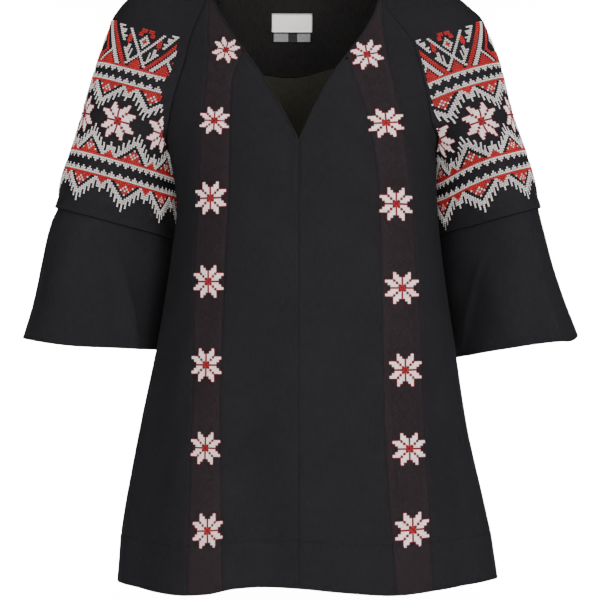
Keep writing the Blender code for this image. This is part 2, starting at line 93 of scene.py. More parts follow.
def bell(distance: np.ndarray, spread: float) -> np.ndarray:
    """Bell curve of height 1: a soft ridge at distance 0 that fades over its spread."""
    return np.exp(-((distance / spread) ** 2))


def running(steps: np.ndarray) -> np.ndarray:
    """Running sums of steps along the last axis, from 0."""
    return np.concatenate([np.zeros((*steps.shape[:-1], 1)), np.cumsum(steps, axis=-1)], axis=-1)


class Side(Enum):
    """The two sides of the garment, as a viewer who faces the front sees them."""

    LEFT = -1
    RIGHT = 1

    @property
    def word(self) -> str:
        """The side's name as the tables and the pieces spell it."""
        return self.name.lower()


@dataclass(frozen=True)
class Table:
    """A short table with named columns, read between its rows on curves that never overshoot them."""

    columns: tuple[str, ...]
    rows: tuple[tuple[float, ...], ...]

    def value(self, name: str, at: np.ndarray) -> np.ndarray:
        """Values of one column.

        Args:
            name: The column's name.
            at: Places along the table's first column.

        Returns:
            The column's values there.
        """
        data = np.array(sorted(self.rows))
        x, y = data[:, 0], data[:, self.columns.index(name)]
        step = np.diff(x)
        slope = np.diff(y) / step
        before, after = slope[:-1], slope[1:]
        turning = before * after <= 0.0
        middle = np.where(turning, 0.0, 2.0 * before * after / np.where(turning, 1.0, before + after))
        tangent = np.concatenate([slope[:1], middle, slope[-1:]])
        at = np.clip(at, x[0], x[-1])
        k = np.clip(np.searchsorted(x, at, side="right") - 1, 0, len(x) - 2)
        s = (at - x[k]) / step[k]
        return (
            y[k] * (1 + 2 * s) * (1 - s) ** 2
            + y[k + 1] * s * s * (3 - 2 * s)
            + step[k] * tangent[k] * s * (1 - s) ** 2
            - step[k] * tangent[k + 1] * s * s * (1 - s)
        )


WIDTHS = Table(("z", "left", "right", "front", "back"), (
    (0.010, 0.124, 0.124, 0.036, 0.062),
    (-0.020, 0.140, 0.140, 0.055, 0.076),
    (-0.040, 0.152, 0.152, 0.067, 0.084),
    (-0.080, 0.172, 0.172, 0.085, 0.096),
    (-0.120, 0.183, 0.183, 0.098, 0.104),
    (-0.160, 0.181, 0.183, 0.106, 0.108),
    (-0.195, 0.171, 0.174, 0.110, 0.110),
    (-0.225, 0.156, 0.162, 0.113, 0.111),
    (-0.260, 0.149, 0.162, 0.115, 0.111),
    (-0.292, 0.146, 0.163, 0.117, 0.110),
    (-0.325, 0.150, 0.166, 0.118, 0.110),
    (-0.400, 0.161, 0.175, 0.121, 0.113),
    (-0.460, 0.170, 0.184, 0.126, 0.119),
    (-0.550, 0.188, 0.197, 0.134, 0.131),
    (-0.602, 0.197, 0.207, 0.140, 0.138),
    (-0.670, 0.209, 0.221, 0.147, 0.146),
    (-0.728, 0.215, 0.231, 0.152, 0.152),
))
RAGLAN_FRONT = Table(("z", "left", "right"), (
    (-0.040, 0.1080, 0.0965),
    (-0.057, 0.1130, 0.1005),
    (-0.074, 0.1202, 0.1125),
    (-0.098, 0.1288, 0.1312),
    (-0.122, 0.1340, 0.1385),
    (-0.155, 0.1447, 0.1470),
    (-0.195, 0.1543, 0.1550),
    (-0.212, 0.1575, 0.1620),
    (-0.225, 0.1560, 0.1620),
))
RAGLAN_BACK = Table(("z", "left", "right"), (
    (-0.014, 0.0880, 0.0860),
    (-0.050, 0.1040, 0.1040),
    (-0.100, 0.1250, 0.1250),
    (-0.150, 0.1420, 0.1430),
    (-0.195, 0.1545, 0.1570),
    (-0.212, 0.1575, 0.1620),
    (-0.225, 0.1560, 0.1620),
))
NECK = Table(("z", "left", "right"), (
    (-0.040, -0.1050, 0.0935),
    (-0.060, -0.0960, 0.0880),
    (-0.085, -0.0815, 0.0760),
    (-0.110, -0.0648, 0.0585),
    (-0.140, -0.0440, 0.0365),
    (-0.175, -0.0228, 0.0168),
    (-0.200, -0.0095, 0.0055),
    (-0.215, -0.0015, -0.0015),
))
STRIP = Table(("z", "outer_left", "inner_left", "inner_right", "outer_right"), (
    (-0.040, -0.1062, -0.0850, 0.0400, 0.0945),
    (-0.075, -0.1075, -0.0740, 0.0440, 0.0955),
    (-0.107, -0.1078, -0.0662, 0.0505, 0.0998),
    (-0.150, -0.1095, -0.0790, 0.0660, 0.1085),
    (-0.200, -0.1150, -0.0808, 0.0810, 0.1200),
    (-0.270, -0.1195, -0.0822, 0.0915, 0.1290),
    (-0.400, -0.1235, -0.0880, 0.0950, 0.1380),
    (-0.530, -0.1225, -0.0925, 0.0955, 0.1440),
    (-0.640, -0.1235, -0.0900, 0.1010, 0.1480),
    (-0.728, -0.1245, -0.0880, 0.1085, 0.1510),
))
# Soft vertical folds: height where one starts, degrees round the body there and at the hem, spread, height.
BODY_FOLDS = (
    (-0.340, -27.0, -10.0, 11.0, -0.0120),
    (-0.420, -38.0, -38.0, 13.0, 0.0080),
    (-0.400, 24.0, 24.0, 15.0, 0.0080),
    (-0.300, -66.0, -62.0, 9.0, -0.0060),
    (-0.330, 64.0, 58.0, 10.0, -0.0070),
    (-0.300, -84.0, -80.0, 8.0, 0.0040),
    (-0.300, 86.0, 82.0, 8.0, 0.0040),
    (-0.260, 180.0, 180.0, 16.0, -0.0080),
    (-0.360, 146.0, 148.0, 14.0, 0.0090),
    (-0.360, -146.0, -149.0, 14.0, 0.0090),
    (-0.400, 116.0, 114.0, 12.0, -0.0060),
    (-0.400, -116.0, -113.0, 12.0, -0.0060),
)
HEM_FALL = Table(("degrees", "fall"), (
    (-90.0, 0.0010),
    (-62.0, 0.0060),
    (-38.0, 0.0085),
    (-29.0, 0.0060),
    (-20.0, -0.0012),
    (-11.0, -0.0033),
    (0.0, -0.0020),
    (10.0, 0.0015),
    (28.0, 0.0068),
    (46.0, 0.0033),
    (66.0, 0.0010),
    (90.0, 0.0000),
    (150.0, 0.0040),
    (180.0, 0.0010),
))
HEM_FALL_START_Z = -0.560
OUTER = Table(("row", "left", "right", "z", "y"), (
    (0.00, 0.1105, 0.1035, 0.0000, 0.005),
    (0.05, 0.1300, 0.1230, -0.0075, 0.004),
    (0.10, 0.1580, 0.1500, -0.0190, 0.003),
    (0.15, 0.1842, 0.1722, -0.0312, 0.002),
    (0.20, 0.2051, 0.1906, -0.0431, 0.001),
    (0.25, 0.2159, 0.2049, -0.0554, 0.000),
    (0.30, 0.2226, 0.2156, -0.0655, 0.000),
    (0.40, 0.2297, 0.2247, -0.0850, 0.000),
    (0.60, 0.2427, 0.2387, -0.1240, 0.000),
    (0.80, 0.2537, 0.2477, -0.1610, 0.000),
    (1.00, 0.2650, 0.2590, -0.1966, 0.000),
    (1.33, 0.2747, 0.2692, -0.2275, 0.000),
    (1.66, 0.2837, 0.2777, -0.2600, 0.000),
    (2.00, 0.2888, 0.2848, -0.2905, 0.000),
    (2.11, 0.2948, 0.2882, -0.3048, 0.000),
    (2.25, 0.2995, 0.2923, -0.3230, 0.000),
    (2.50, 0.3073, 0.2999, -0.3560, 0.000),
    (2.75, 0.3168, 0.3124, -0.3970, 0.000),
    (3.00, 0.3297, 0.3297, -0.4415, 0.000),
))
ROUND = Table((
    "row", "inner_left", "inner_right", "inner_y", "slant", "lean",
    "seam_front", "outer_front", "seam_back", "outer_back",
), (
    (0.00, 0.1563, 0.1623, 0.000, 6.0, 0.00, 0.018, 0.022, 0.018, 0.020),
    (0.20, 0.1563, 0.1623, 0.000, 6.0, 0.05, 0.050, 0.046, 0.050, 0.044),
    (0.40, 0.1563, 0.1623, 0.000, 6.0, 0.10, 0.054, 0.056, 0.054, 0.052),
    (0.60, 0.1563, 0.1623, 0.000, 6.0, 0.22, 0.054, 0.076, 0.054, 0.072),
    (0.80, 0.1563, 0.1623, 0.000, 6.0, 0.42, 0.055, 0.085, 0.055, 0.084),
    (0.90, 0.1563, 0.1623, 0.000, 6.0, 0.66, 0.052, 0.082, 0.053, 0.081),
    (0.95, 0.1563, 0.1623, 0.000, 6.0, 0.86, 0.064, 0.083, 0.066, 0.084),
    (1.00, 0.1563, 0.1623, 0.000, 6.0, 1.00, 0.084, 0.086, 0.086, 0.088),
    (1.14, 0.1515, 0.1620, 0.028, 7.0, 1.00, 0.100, 0.096, 0.064, 0.076),
    (1.33, 0.1470, 0.1595, 0.044, 8.0, 1.00, 0.110, 0.104, 0.054, 0.070),
    (1.66, 0.1450, 0.1590, 0.050, 9.0, 1.00, 0.113, 0.106, 0.053, 0.068),
    (2.00, 0.1450, 0.1600, 0.050, 10.0, 1.00, 0.114, 0.108, 0.054, 0.068),
    (2.50, 0.1505, 0.1660, 0.052, 9.0, 1.00, 0.120, 0.116, 0.062, 0.076),
    (3.00, 0.1625, 0.1770, 0.054, 6.0, 1.00, 0.128, 0.126, 0.074, 0.088),
))
# Folds of the flared cuffs: place round the cuff from -1, at the front inner side, to 1, spread and height.
CUFF_FOLDS = (
    (-1, -0.55, -0.72, 0.09, 0.0060),
    (-1, -0.42, -0.56, 0.09, -0.0040),
    (-1, 0.45, 0.50, 0.16, -0.0080),
    (1, -0.20, -0.30, 0.08, 0.0040),
    (1, -0.31, -0.42, 0.09, -0.0035),
    (1, -0.52, -0.85, 0.12, -0.0080),
    (1, 0.40, 0.46, 0.15, -0.0080),
)
# Creases beside those folds, narrow enough to leave out of the solids: place, spread and height as above.
CUFF_CREASES = (
    (-1, -0.530, -0.745, 0.022, 0.0038),
    (-1, -0.465, -0.660, 0.032, -0.0020),
    (1, -0.520, -0.885, 0.022, 0.0040),
    (1, -0.605, -0.970, 0.036, -0.0020),
    (1, -0.225, -0.280, 0.018, 0.0026),
)
# How far the cuffs' hems fall below their level: side, place round the cuff, spread and drop.
CUFF_DROPS = (
    (-1, -0.42, 0.26, 0.0048),
    (-1, -0.05, 0.20, 0.0020),
    (1, -0.20, 0.12, 0.0042),
    (1, -0.90, 0.16, 0.0018),
)
# The ornament strips' stars: height, distance across from the middle of the garment, distances between
# stitches across and down as the front shows them, and lean in degrees.
STARS = {Side.LEFT: (
    (-0.1113, -0.0854, 0.00119, 0.00112, 15.0),
    (-0.1931, -0.0985, 0.00135, 0.00120, 4.0),
    (-0.2821, -0.1032, 0.00144, 0.00147, 0.0),
    (-0.3787, -0.1056, 0.00140, 0.00147, 0.0),
    (-0.4747, -0.1077, 0.00135, 0.00150, 0.0),
    (-0.5693, -0.1070, 0.00124, 0.00142, 0.0),
    (-0.6587, -0.1035, 0.00120, 0.00147, 0.0),
), Side.RIGHT: (
    (-0.1169, 0.0773, 0.00145, 0.00129, -11.5),
    (-0.1957, 0.0990, 0.00165, 0.00130, -5.0),
    (-0.2892, 0.1108, 0.00153, 0.00150, 0.0),
    (-0.3862, 0.1176, 0.00157, 0.00144, 0.0),
    (-0.4805, 0.1211, 0.00154, 0.00148, 0.0),
    (-0.5707, 0.1240, 0.00157, 0.00142, 0.0),
    (-0.6587, 0.1264, 0.00161, 0.00147, 0.0),
)}


@dataclass(frozen=True)
class SleeveMeasures:
    """What differs between the two sleeves, in metres.

    cuff_rise is how much higher the cuff's hem is at the inner side than a cut square to the arm. The starts
    are distances forwards round the sleeve from its outer line to the middle of a large tooth and of a V.
    Stretch is how much wider the repeats are where the sleeve turns in towards the body. The margin is bare
    cloth between the stitches and the raglan seam, less margin_loss further down. Drift moves the upper rows
    round the sleeve, and sag moves them down it in front.
    """

    cuff_rise: float
    band_start: float
    frieze_start: float
    stretch: float
    crease_phase: float
    margin: float
    margin_loss: float
    drift: float
    sag: float


SLEEVE_MEASURES = {
    Side.LEFT: SleeveMeasures(0.0255, 0.064, 0.082, 1.18, 0.7, 0.0118, 0.0078, 0.0, 0.0),
    Side.RIGHT: SleeveMeasures(0.014, 0.0555, 0.0885, 1.36, 2.1, 0.0015, 0.0, 0.008, 0.010),
}
# Creases of slack in the sleeves: height, waves round and down the sleeve, row where they start, and rows
# until they are full.
SLEEVE_RIPPLES = (
    (0.0009, 9.0, 4.0, 0.5, 0.8),
    (0.0005, 23.0, -7.0, 0.9, 0.5),
)
# Faint creases of the body below a level: height, waves round the body, and how those drift with the level.
BODY_RIPPLES = (
    (0.0007, 9.0, 18.0),
    (0.0004, 21.0, -31.0),
)
RIPPLE_TOP_Z = -0.24
RIPPLE_RUN = 0.30
# Drag lines that run down and forwards from each armpit: height, degrees beside the line, middle's level.
DRAG_RIDGES = (
    (0.0011, 0.0, -0.262),
    (-0.0009, 11.0, -0.272),
)
DRAG_DEGREES = 72.0
DRAG_SLOPE = 210.0
DRAG_Z = -0.235
DRAG_SPREAD = 5.0
DRAG_LENGTH = 0.035
# The slight waviness of the cloth along the hem's stitch line.
HEM_RIPPLE = 0.0005
HEM_WAVES = 64.0
HEM_RIPPLE_SPREAD = 0.010


@dataclass(frozen=True)
class BodyForm:
    """Outer face of the body: points by height and by degrees round it from the middle of the front."""

    small_turn: float = 0.5
    small_drop: float = 0.001

    def half_width(self, z: np.ndarray, right: np.ndarray) -> np.ndarray:
        """Half width of the body at a height, on its right side or its left."""
        return np.where(right, WIDTHS.value("right", z), WIDTHS.value("left", z))

    def fold(self, z: np.ndarray, degrees: np.ndarray) -> np.ndarray:
        """Height of the body's soft folds.

        Args:
            z: Heights.
            degrees: Degrees round the body.

        Returns:
            Heights over the smooth form.
        """
        height = np.zeros(np.broadcast(z, degrees).shape)
        for start_z, start, hem, spread, rise in BODY_FOLDS:
            run = (start_z - z) / (start_z - HEM_Z)
            middle = start + (hem - start) * np.maximum(0.0, run)
            height = height + rise * ease(run) * bell(turn_between(degrees, middle), spread)
        return height

    def hem_fall(self, z: np.ndarray, degrees: np.ndarray) -> np.ndarray:
        """How far the cloth near the hem falls below its level.

        Args:
            z: Heights.
            degrees: Degrees round the body.

        Returns:
            Drops in metres.
        """
        round_front = turn_between(degrees, 0.0)
        round_front = np.where(round_front < -90.0, -round_front, round_front)
        share = ease((HEM_FALL_START_Z - z) / (HEM_FALL_START_Z - HEM_Z))
        return share * HEM_FALL.value("fall", round_front)

    def base(self, z: np.ndarray, degrees: np.ndarray) -> np.ndarray:
        """Points of the smooth form.

        Args:
            z: Heights.
            degrees: Degrees round the body.

        Returns:
            The points.
        """
        z, degrees = np.broadcast_arrays(np.asarray(z, float), np.asarray(degrees, float))
        angle = np.radians(degrees)
        width = self.half_width(z, np.sin(angle) >= 0.0)
        depth = np.where(np.cos(angle) > 0.0, WIDTHS.value("front", z), WIDTHS.value("back", z))
        return np.stack(
            [width * np.sin(angle), -depth * np.cos(angle), z - self.hem_fall(z, degrees)], axis=-1
        )

    def normal(self, z: np.ndarray, degrees: np.ndarray) -> np.ndarray:
        """Directions straight out of the smooth form.

        Args:
            z: Heights.
            degrees: Degrees round the body.

        Returns:
            Unit vectors.
        """
        across = self.base(z, degrees + self.small_turn) - self.base(z, degrees - self.small_turn)
        up = self.base(z + self.small_drop, degrees) - self.base(z - self.small_drop, degrees)
        return unit(np.cross(across, up))

    def point(self, z: np.ndarray, degrees: np.ndarray, lift: np.ndarray = 0.0) -> np.ndarray:
        """Points of the folded outer face, moved out by a lift.

        Args:
            z: Heights.
            degrees: Degrees round the body.
            lift: How far they move out.

        Returns:
            The points.
        """
        z, degrees, lift = np.broadcast_arrays(
            np.asarray(z, float), np.asarray(degrees, float), np.asarray(lift, float)
        )
        height = lift + self.fold(z, degrees)
        return self.base(z, degrees) + self.normal(z, degrees) * height[..., None]

    def degrees_of(self, z: np.ndarray, x: np.ndarray) -> np.ndarray:
        """Angles round the body of distances across its front."""
        width = self.half_width(z, np.asarray(x) >= 0.0)
        return np.degrees(np.arcsin(np.clip(x / width, -1.0, 1.0)))

    def inset(self, z: np.ndarray, degrees: np.ndarray, amount: float) -> np.ndarray:
        """Angles moved by an amount of cloth in metres."""
        step = self.base(z, degrees + self.small_turn) - self.base(z, degrees - self.small_turn)
        return degrees + amount / np.linalg.norm(step, axis=-1)

    def raglan(self, z: np.ndarray, side: Side, front: bool) -> np.ndarray:
        """Angles of a raglan seam, or of the side seam below the armpit.

        Args:
            z: Heights.
            side: Side of the garment.
            front: Whether it is the front seam.

        Returns:
            Degrees round the body.
        """
        table = RAGLAN_FRONT if front else RAGLAN_BACK
        seam = self.degrees_of(z, side.value * table.value(side.word, z))
        if not front:
            seam = 180.0 * side.value - seam
        return np.where(np.asarray(z) <= ARMPIT_Z + 1e-6, 90.0 * side.value, seam)

    def strip_edge(self, name: str) -> Callable[[np.ndarray], np.ndarray]:
        """Edge of an ornament strip as a function of the height."""
        return lambda z: self.degrees_of(z, STRIP.value(name, z))

    def neck_edge(self, side: Side) -> Callable[[np.ndarray], np.ndarray]:
        """Edge of the V neck as a function of the height, and the middle seam below it.

        Args:
            side: Side of the garment.

        Returns:
            A function that gives degrees round the body at heights.
        """

        def edge(z: np.ndarray) -> np.ndarray:
            """Angles of the edge."""
            x = np.where(np.asarray(z) <= V_BOTTOM_Z, V_BOTTOM_X, NECK.value(side.word, z))
            return self.degrees_of(z, x)

        return edge


@dataclass(frozen=True)
class SleeveForm:
    """Outer face of one sleeve: rows run down it, and places run round it from -1 in front to 1 behind."""

    body: BodyForm
    side: Side
    armpit_clearance: float = 0.0003
    armpit_start: float = 0.8
    armpit_run: float = 0.2
    edge_inset: float = 0.0002
    lip_flare: float = 0.0016
    lip_depth: float = 0.14
    cuff_inset: float = 0.0013
    cuff_release: float = 0.30

    def outer(self, row: np.ndarray) -> np.ndarray:
        """Points of the outer line."""
        across, back, up = (OUTER.value(name, row) for name in (self.side.word, "y", "z"))
        return np.stack([self.side.value * across, back, up], axis=-1)

    def inner(self, row: np.ndarray) -> np.ndarray:
        """Points of the inner line below the armpit.

        Args:
            row: Rows of the sleeve.

        Returns:
            The points.
        """
        outer = self.outer(row)
        x = ROUND.value("inner_" + self.side.word, row)
        rise = SLEEVE_MEASURES[self.side].cuff_rise * ease(row - LIP_ROW)
        z = outer[..., 2] - (np.abs(outer[..., 0]) - x) * math.tan(ARM_TILT) + rise
        return np.stack([self.side.value * x, ROUND.value("inner_y", row), z], axis=-1)

    def seam_end(self, row: np.ndarray, front: bool) -> tuple[np.ndarray, np.ndarray]:
        """Where the sections meet the raglan seam or the inner line.

        Args:
            row: Rows of the sleeve.
            front: Whether it is the front half.

        Returns:
            The end points, and the directions in which the sections leave them.
        """
        side = self.side.value
        slant = np.radians(ROUND.value("slant", row))
        turn = -1.0 if front else 1.0
        away = unit(np.stack(
            [side * np.sin(slant), turn * np.cos(slant), np.sin(slant) * math.tan(ARM_TILT)], axis=-1
        ))
        top = NECK_FRONT_Z if front else NECK_BACK_Z
        z = top + (ARMPIT_Z - top) * np.minimum(row, ARMPIT_ROW)
        seam = self.body.raglan(z, self.side, front)
        degrees = self.body.inset(z, seam, self.edge_inset * side * (1.0 if front else -1.0))
        end = self.body.point(z, degrees)
        end[..., 0] += side * self.armpit_clearance * ease((row - self.armpit_start) / self.armpit_run)
        normal = self.body.normal(z, degrees)
        reach = self.outer(row) - end
        along = unit(reach - normal * np.sum(reach * normal, axis=-1, keepdims=True))
        lean = ROUND.value("lean", row)[..., None]
        leaving = unit(along * (1.0 - lean) + away * lean)
        tube = (row >= ARMPIT_ROW)[..., None]
        return np.where(tube, self.inner(row), end), np.where(tube, away, leaving)

    def half(self, row: np.ndarray, place: np.ndarray, front: bool) -> np.ndarray:
        """Points of the front or the back half.

        Args:
            row: Rows of the sleeve.
            place: Places round it.
            front: Whether it is the front half.

        Returns:
            The points.
        """
        end, leaving = self.seam_end(row, front)
        outer = self.outer(row)
        word = "front" if front else "back"
        first = end + leaving * ROUND.value("seam_" + word, row)[..., None]
        turn = np.array([0.0, -1.0 if front else 1.0, 0.0])
        second = outer + turn * ROUND.value("outer_" + word, row)[..., None]
        s = (1.0 - np.abs(place))[..., None]
        return (
            end * (1 - s) ** 3 + first * 3 * s * (1 - s) ** 2 + second * 3 * s * s * (1 - s) + outer * s**3
        )

    def base(self, row: np.ndarray, place: np.ndarray) -> np.ndarray:
        """Points of the smooth sleeve.

        Args:
            row: Rows of the sleeve.
            place: Places round it.

        Returns:
            The points.
        """
        row, place = np.broadcast_arrays(np.asarray(row, float), np.asarray(place, float))
        front = (place <= 0.0)[..., None]
        points = np.where(front, self.half(row, place, True), self.half(row, place, False))
        points[..., 2] -= self.cuff_drop(row, place)
        return points

    def cuff_drop(self, row: np.ndarray, place: np.ndarray) -> np.ndarray:
        """How far the cuff falls below its level near its hem.

        Args:
            row: Rows of the sleeve.
            place: Places round it.

        Returns:
            Drops in metres.
        """
        drop = np.zeros(np.broadcast(row, place).shape)
        for drop_side, middle, spread, depth in CUFF_DROPS:
            if drop_side == self.side.value:
                drop = drop + depth * bell(place - middle, spread)
        return drop * ease((row - LIP_ROW) / (CUFF_ROW - LIP_ROW))

    def cuff_fold(self, row: np.ndarray, place: np.ndarray) -> np.ndarray:
        """Height of the cuff's folds.

        Args:
            row: Rows of the sleeve.
            place: Places round it.

        Returns:
            Heights over the smooth form.
        """
        run = (row - LIP_ROW) / (CUFF_ROW - LIP_ROW)
        height = np.zeros(np.broadcast(row, place).shape)
        for fold_side, start, hem, spread, rise in CUFF_FOLDS + CUFF_CREASES:
            if fold_side == self.side.value:
                middle = start + (hem - start) * np.maximum(0.0, run)
                height = height + rise * ease(run) * bell(place - middle, spread)
        return height

    def lip_lift(self, row: np.ndarray) -> np.ndarray:
        """How far the turned hem of the upper sleeve stands off the cuff."""
        return self.lip_flare * ease((row - (LIP_ROW - self.lip_depth)) / self.lip_depth)

    def cuff_lift(self, row: np.ndarray) -> np.ndarray:
        """How far the cuff lies inside the sleeve's form, so that its top fits under the lip."""
        return -self.cuff_inset * (1.0 - ease((row - LIP_ROW) / self.cuff_release))

    def surface(self, rows: np.ndarray, places: np.ndarray, lift: np.ndarray) -> np.ndarray:
        """Grid of points on the sleeve, seen from outside with its rows running down.

        Args:
            rows: Rows of the sleeve, from the top down.
            places: Places round it, in ascending order.
            lift: Heights over the smooth form, for each row and place.

        Returns:
            The points, with the columns running to the viewer's right.
        """
        row, place = np.meshgrid(rows, places, indexing="ij")
        grid = self.base(row, place)
        lift = lift + self.cuff_fold(row, place)
        if self.side is Side.LEFT:
            grid, lift = grid[:, ::-1], lift[:, ::-1]
        closed = int(np.argmax(rows >= ARMPIT_ROW)) if (rows >= ARMPIT_ROW).any() else len(rows)
        return grid + grid_normals(grid, closed) * lift[..., None]


def grid_normals(grid: np.ndarray, closed_from: int) -> np.ndarray:
    """Outward normals of a grid of points.

    Args:
        grid: Points, rows running down and columns to the viewer's right.
        closed_from: First row whose ends meet, so that it goes all round.

    Returns:
        Unit normals of the same shape.
    """
    along = np.gradient(grid, axis=0)
    across = np.gradient(grid, axis=1)
    ring, ends = slice(closed_from, None), [0, -1]
    across[ring, ends] = (grid[ring, 1] - grid[ring, -2])[:, None]
    along[ring, ends] = (along[ring, 0] + along[ring, -1])[:, None]
    return unit(np.cross(along, across))


def linear(hex_color: str) -> tuple[float, float, float, float]:
    """Turns an sRGB hex value into linear light with full alpha.

    Args:
        hex_color: The value, with its mark.

    Returns:
        Red, green, blue and alpha.
    """
    parts = [int(hex_color[i:i + 2], 16) / 255.0 for i in (1, 3, 5)]
    light = [p / 12.92 if p <= 0.04045 else ((p + 0.055) / 1.055) ** 2.4 for p in parts]
    return (*light, 1.0)


def set_inputs(tree: bpy.types.NodeTree, node: bpy.types.Node, values: dict, links: dict) -> None:
    """Sets a node's inputs by name or number: some to constants, the others from sockets of other nodes.

    Args:
        tree: The material's node tree.
        node: The node.
        values: Constants by input.
        links: Output sockets by input.
    """
    for key, value in values.items():
        node.inputs[key].default_value = value
    for key, source in links.items():
        tree.links.new(source, node.inputs[key])


def add_node(
    tree: bpy.types.NodeTree, kind: str, inputs: dict | None = None, links: dict | None = None, **settings
) -> bpy.types.Node:
    """Adds one shader node.

    Args:
        tree: The material's node tree.
        kind: Name of the node's class without its prefix.
        inputs: Values of sockets by name.
        links: Output sockets by the name of the input that each one feeds.
        settings: Attributes of the node.

    Returns:
        The new node.
    """
    node = tree.nodes.new("ShaderNode" + kind)
    for key, value in settings.items():
        setattr(node, key, value)
    set_inputs(tree, node, inputs or {}, links or {})
    return node


def wave_scale(period_mm: float) -> float:
    """Scale at which a wave texture's bands repeat at a period, on coordinates in metres."""
    return math.pi / 10.0 / (period_mm / 1000.0)


def new_material(name: str) -> tuple[bpy.types.Material, bpy.types.NodeTree, bpy.types.Node]:
    """A new material with its node tree and its surface shader.

    Args:
        name: Its name.

    Returns:
        The material, its tree and the shader.
    """
    material = bpy.data.materials.new(name)
    material.use_nodes = True
    return material, material.node_tree, material.node_tree.nodes["Principled BSDF"]


@dataclass(frozen=True)
class ToneDrift:
    """How a dyed colour drifts between a dark and a light tone with a broad and a fine noise.

    The share says how much the broad noise counts beside the fine one. Their sum gives the dark tone at
    start and the light tone at a run above it.
    """

    share: float
    start: float
    run: float = 0.5

    def color(
        self, tree: bpy.types.NodeTree, dark: str, light: str, broad: bpy.types.Node, fine: bpy.types.Node
    ) -> bpy.types.NodeSocket:
        """Adds the colour's nodes.

        Args:
            tree: The material's node tree.
            dark: The dark tone.
            light: The light tone.
            broad: The broad noise.
            fine: The fine noise.

        Returns:
            The output that gives the colour.
        """
        total = add_node(tree, "Math", {1: self.share}, {0: broad.outputs["Fac"], 2: fine.outputs["Fac"]},
                         operation="MULTIPLY_ADD")
        ramp = add_node(tree, "MapRange", {"From Min": self.start, "From Max": self.start + self.run},
                        {"Value": total.outputs[0]})
        mix = add_node(tree, "Mix", {"A": linear(dark), "B": linear(light)},
                       {"Factor": ramp.outputs["Result"]}, data_type="RGBA")
        return mix.outputs[2]


@dataclass(frozen=True)
class WovenCloth:
    """Plain-woven viscose and cotton, dyed in the piece and pressed: matt, with a faint grain of its yarns.

    Its yarns are 0.45 mm apart, too fine for a render of the whole garment, so they are drawn at yarn_mm.
    """

    name: str
    dark: str
    light: str
    yarn_mm: float = 0.9
    slub_mm: float = 2.6
    relief_mm: float = 0.12
    roughness: float = 0.92
    sheen: float = 0.01
    gloss: float = 0.0
    drift: ToneDrift = ToneDrift(0.5, 0.50)

    def material(self) -> bpy.types.Material:
        """The cloth's material: yarns and slubs in the bump, and the cloudy tone that pressing leaves.

        Returns:
            The new material.
        """
        material, tree, shader = new_material(self.name)
        place = add_node(tree, "TexCoord").outputs["UV"]
        yarn = {"Scale": wave_scale(self.yarn_mm), "Distortion": 0.6, "Detail": 1.0}
        warp, weft = (
            add_node(tree, "TexWave", yarn, {"Vector": place}, wave_type="BANDS", bands_direction=axis)
            for axis in ("X", "Y")
        )
        stretched = add_node(tree, "Mapping", {"Scale": (1.0, 0.30, 1.0)}, {"Vector": place})
        slubs = add_node(tree, "TexNoise", {"Scale": 1000.0 / self.slub_mm, "Detail": 3.0, "Roughness": 0.6},
                         {"Vector": stretched.outputs["Vector"]})
        clouds = add_node(tree, "TexNoise", {"Scale": 16.0, "Detail": 4.0, "Roughness": 0.6},
                          {"Vector": place})
        yarns = add_node(tree, "Math", None, {0: warp.outputs["Fac"], 1: weft.outputs["Fac"]},
                         operation="MULTIPLY")
        height = add_node(tree, "Math", {1: 0.9}, {0: slubs.outputs["Fac"], 2: yarns.outputs[0]},
                          operation="MULTIPLY_ADD")
        bump = add_node(tree, "Bump", {"Strength": 0.55, "Distance": self.relief_mm / 1000.0},
                        {"Height": height.outputs[0]})
        set_inputs(tree, shader, {
            "Roughness": self.roughness, "Sheen Weight": self.sheen, "Sheen Roughness": 0.5, "IOR": 1.46,
            "Specular IOR Level": self.gloss,
        }, {"Base Color": self.drift.color(tree, self.dark, self.light, clouds, slubs),
            "Normal": bump.outputs["Normal"]})
        return material


@dataclass(frozen=True)
class CottonThread:
    """Mercerised cotton thread: two plies twisted together, with a soft sheen along them."""

    name: str
    dark: str
    light: str
    ply_mm: float = 0.55
    roughness: float = 0.70
    sheen: float = 0.03
    gloss: float = 0.14
    drift: ToneDrift = ToneDrift(0.6, 0.55)

    def material(self) -> bpy.types.Material:
        """The thread's material: plies in the bump, and a tone that drifts a little between stitches.

        Returns:
            The new material.
        """
        material, tree, shader = new_material(self.name)
        place = add_node(tree, "TexCoord").outputs["Object"]
        stitches = add_node(tree, "TexNoise", {"Scale": 420.0, "Detail": 1.0}, {"Vector": place})
        patches = add_node(tree, "TexNoise", {"Scale": 30.0, "Detail": 2.0}, {"Vector": place})
        plies = add_node(tree, "TexWave", {"Scale": wave_scale(self.ply_mm), "Distortion": 1.0},
                         {"Vector": place}, wave_type="BANDS", bands_direction="DIAGONAL")
        bump = add_node(tree, "Bump", {"Strength": 0.35, "Distance": 0.0001},
                        {"Height": plies.outputs["Fac"]})
        set_inputs(tree, shader, {
            "Roughness": self.roughness, "Sheen Weight": self.sheen, "Sheen Roughness": 0.4,
            "Specular IOR Level": self.gloss,
        }, {"Base Color": self.drift.color(tree, self.dark, self.light, patches, stitches),
            "Normal": bump.outputs["Normal"]})
        return material


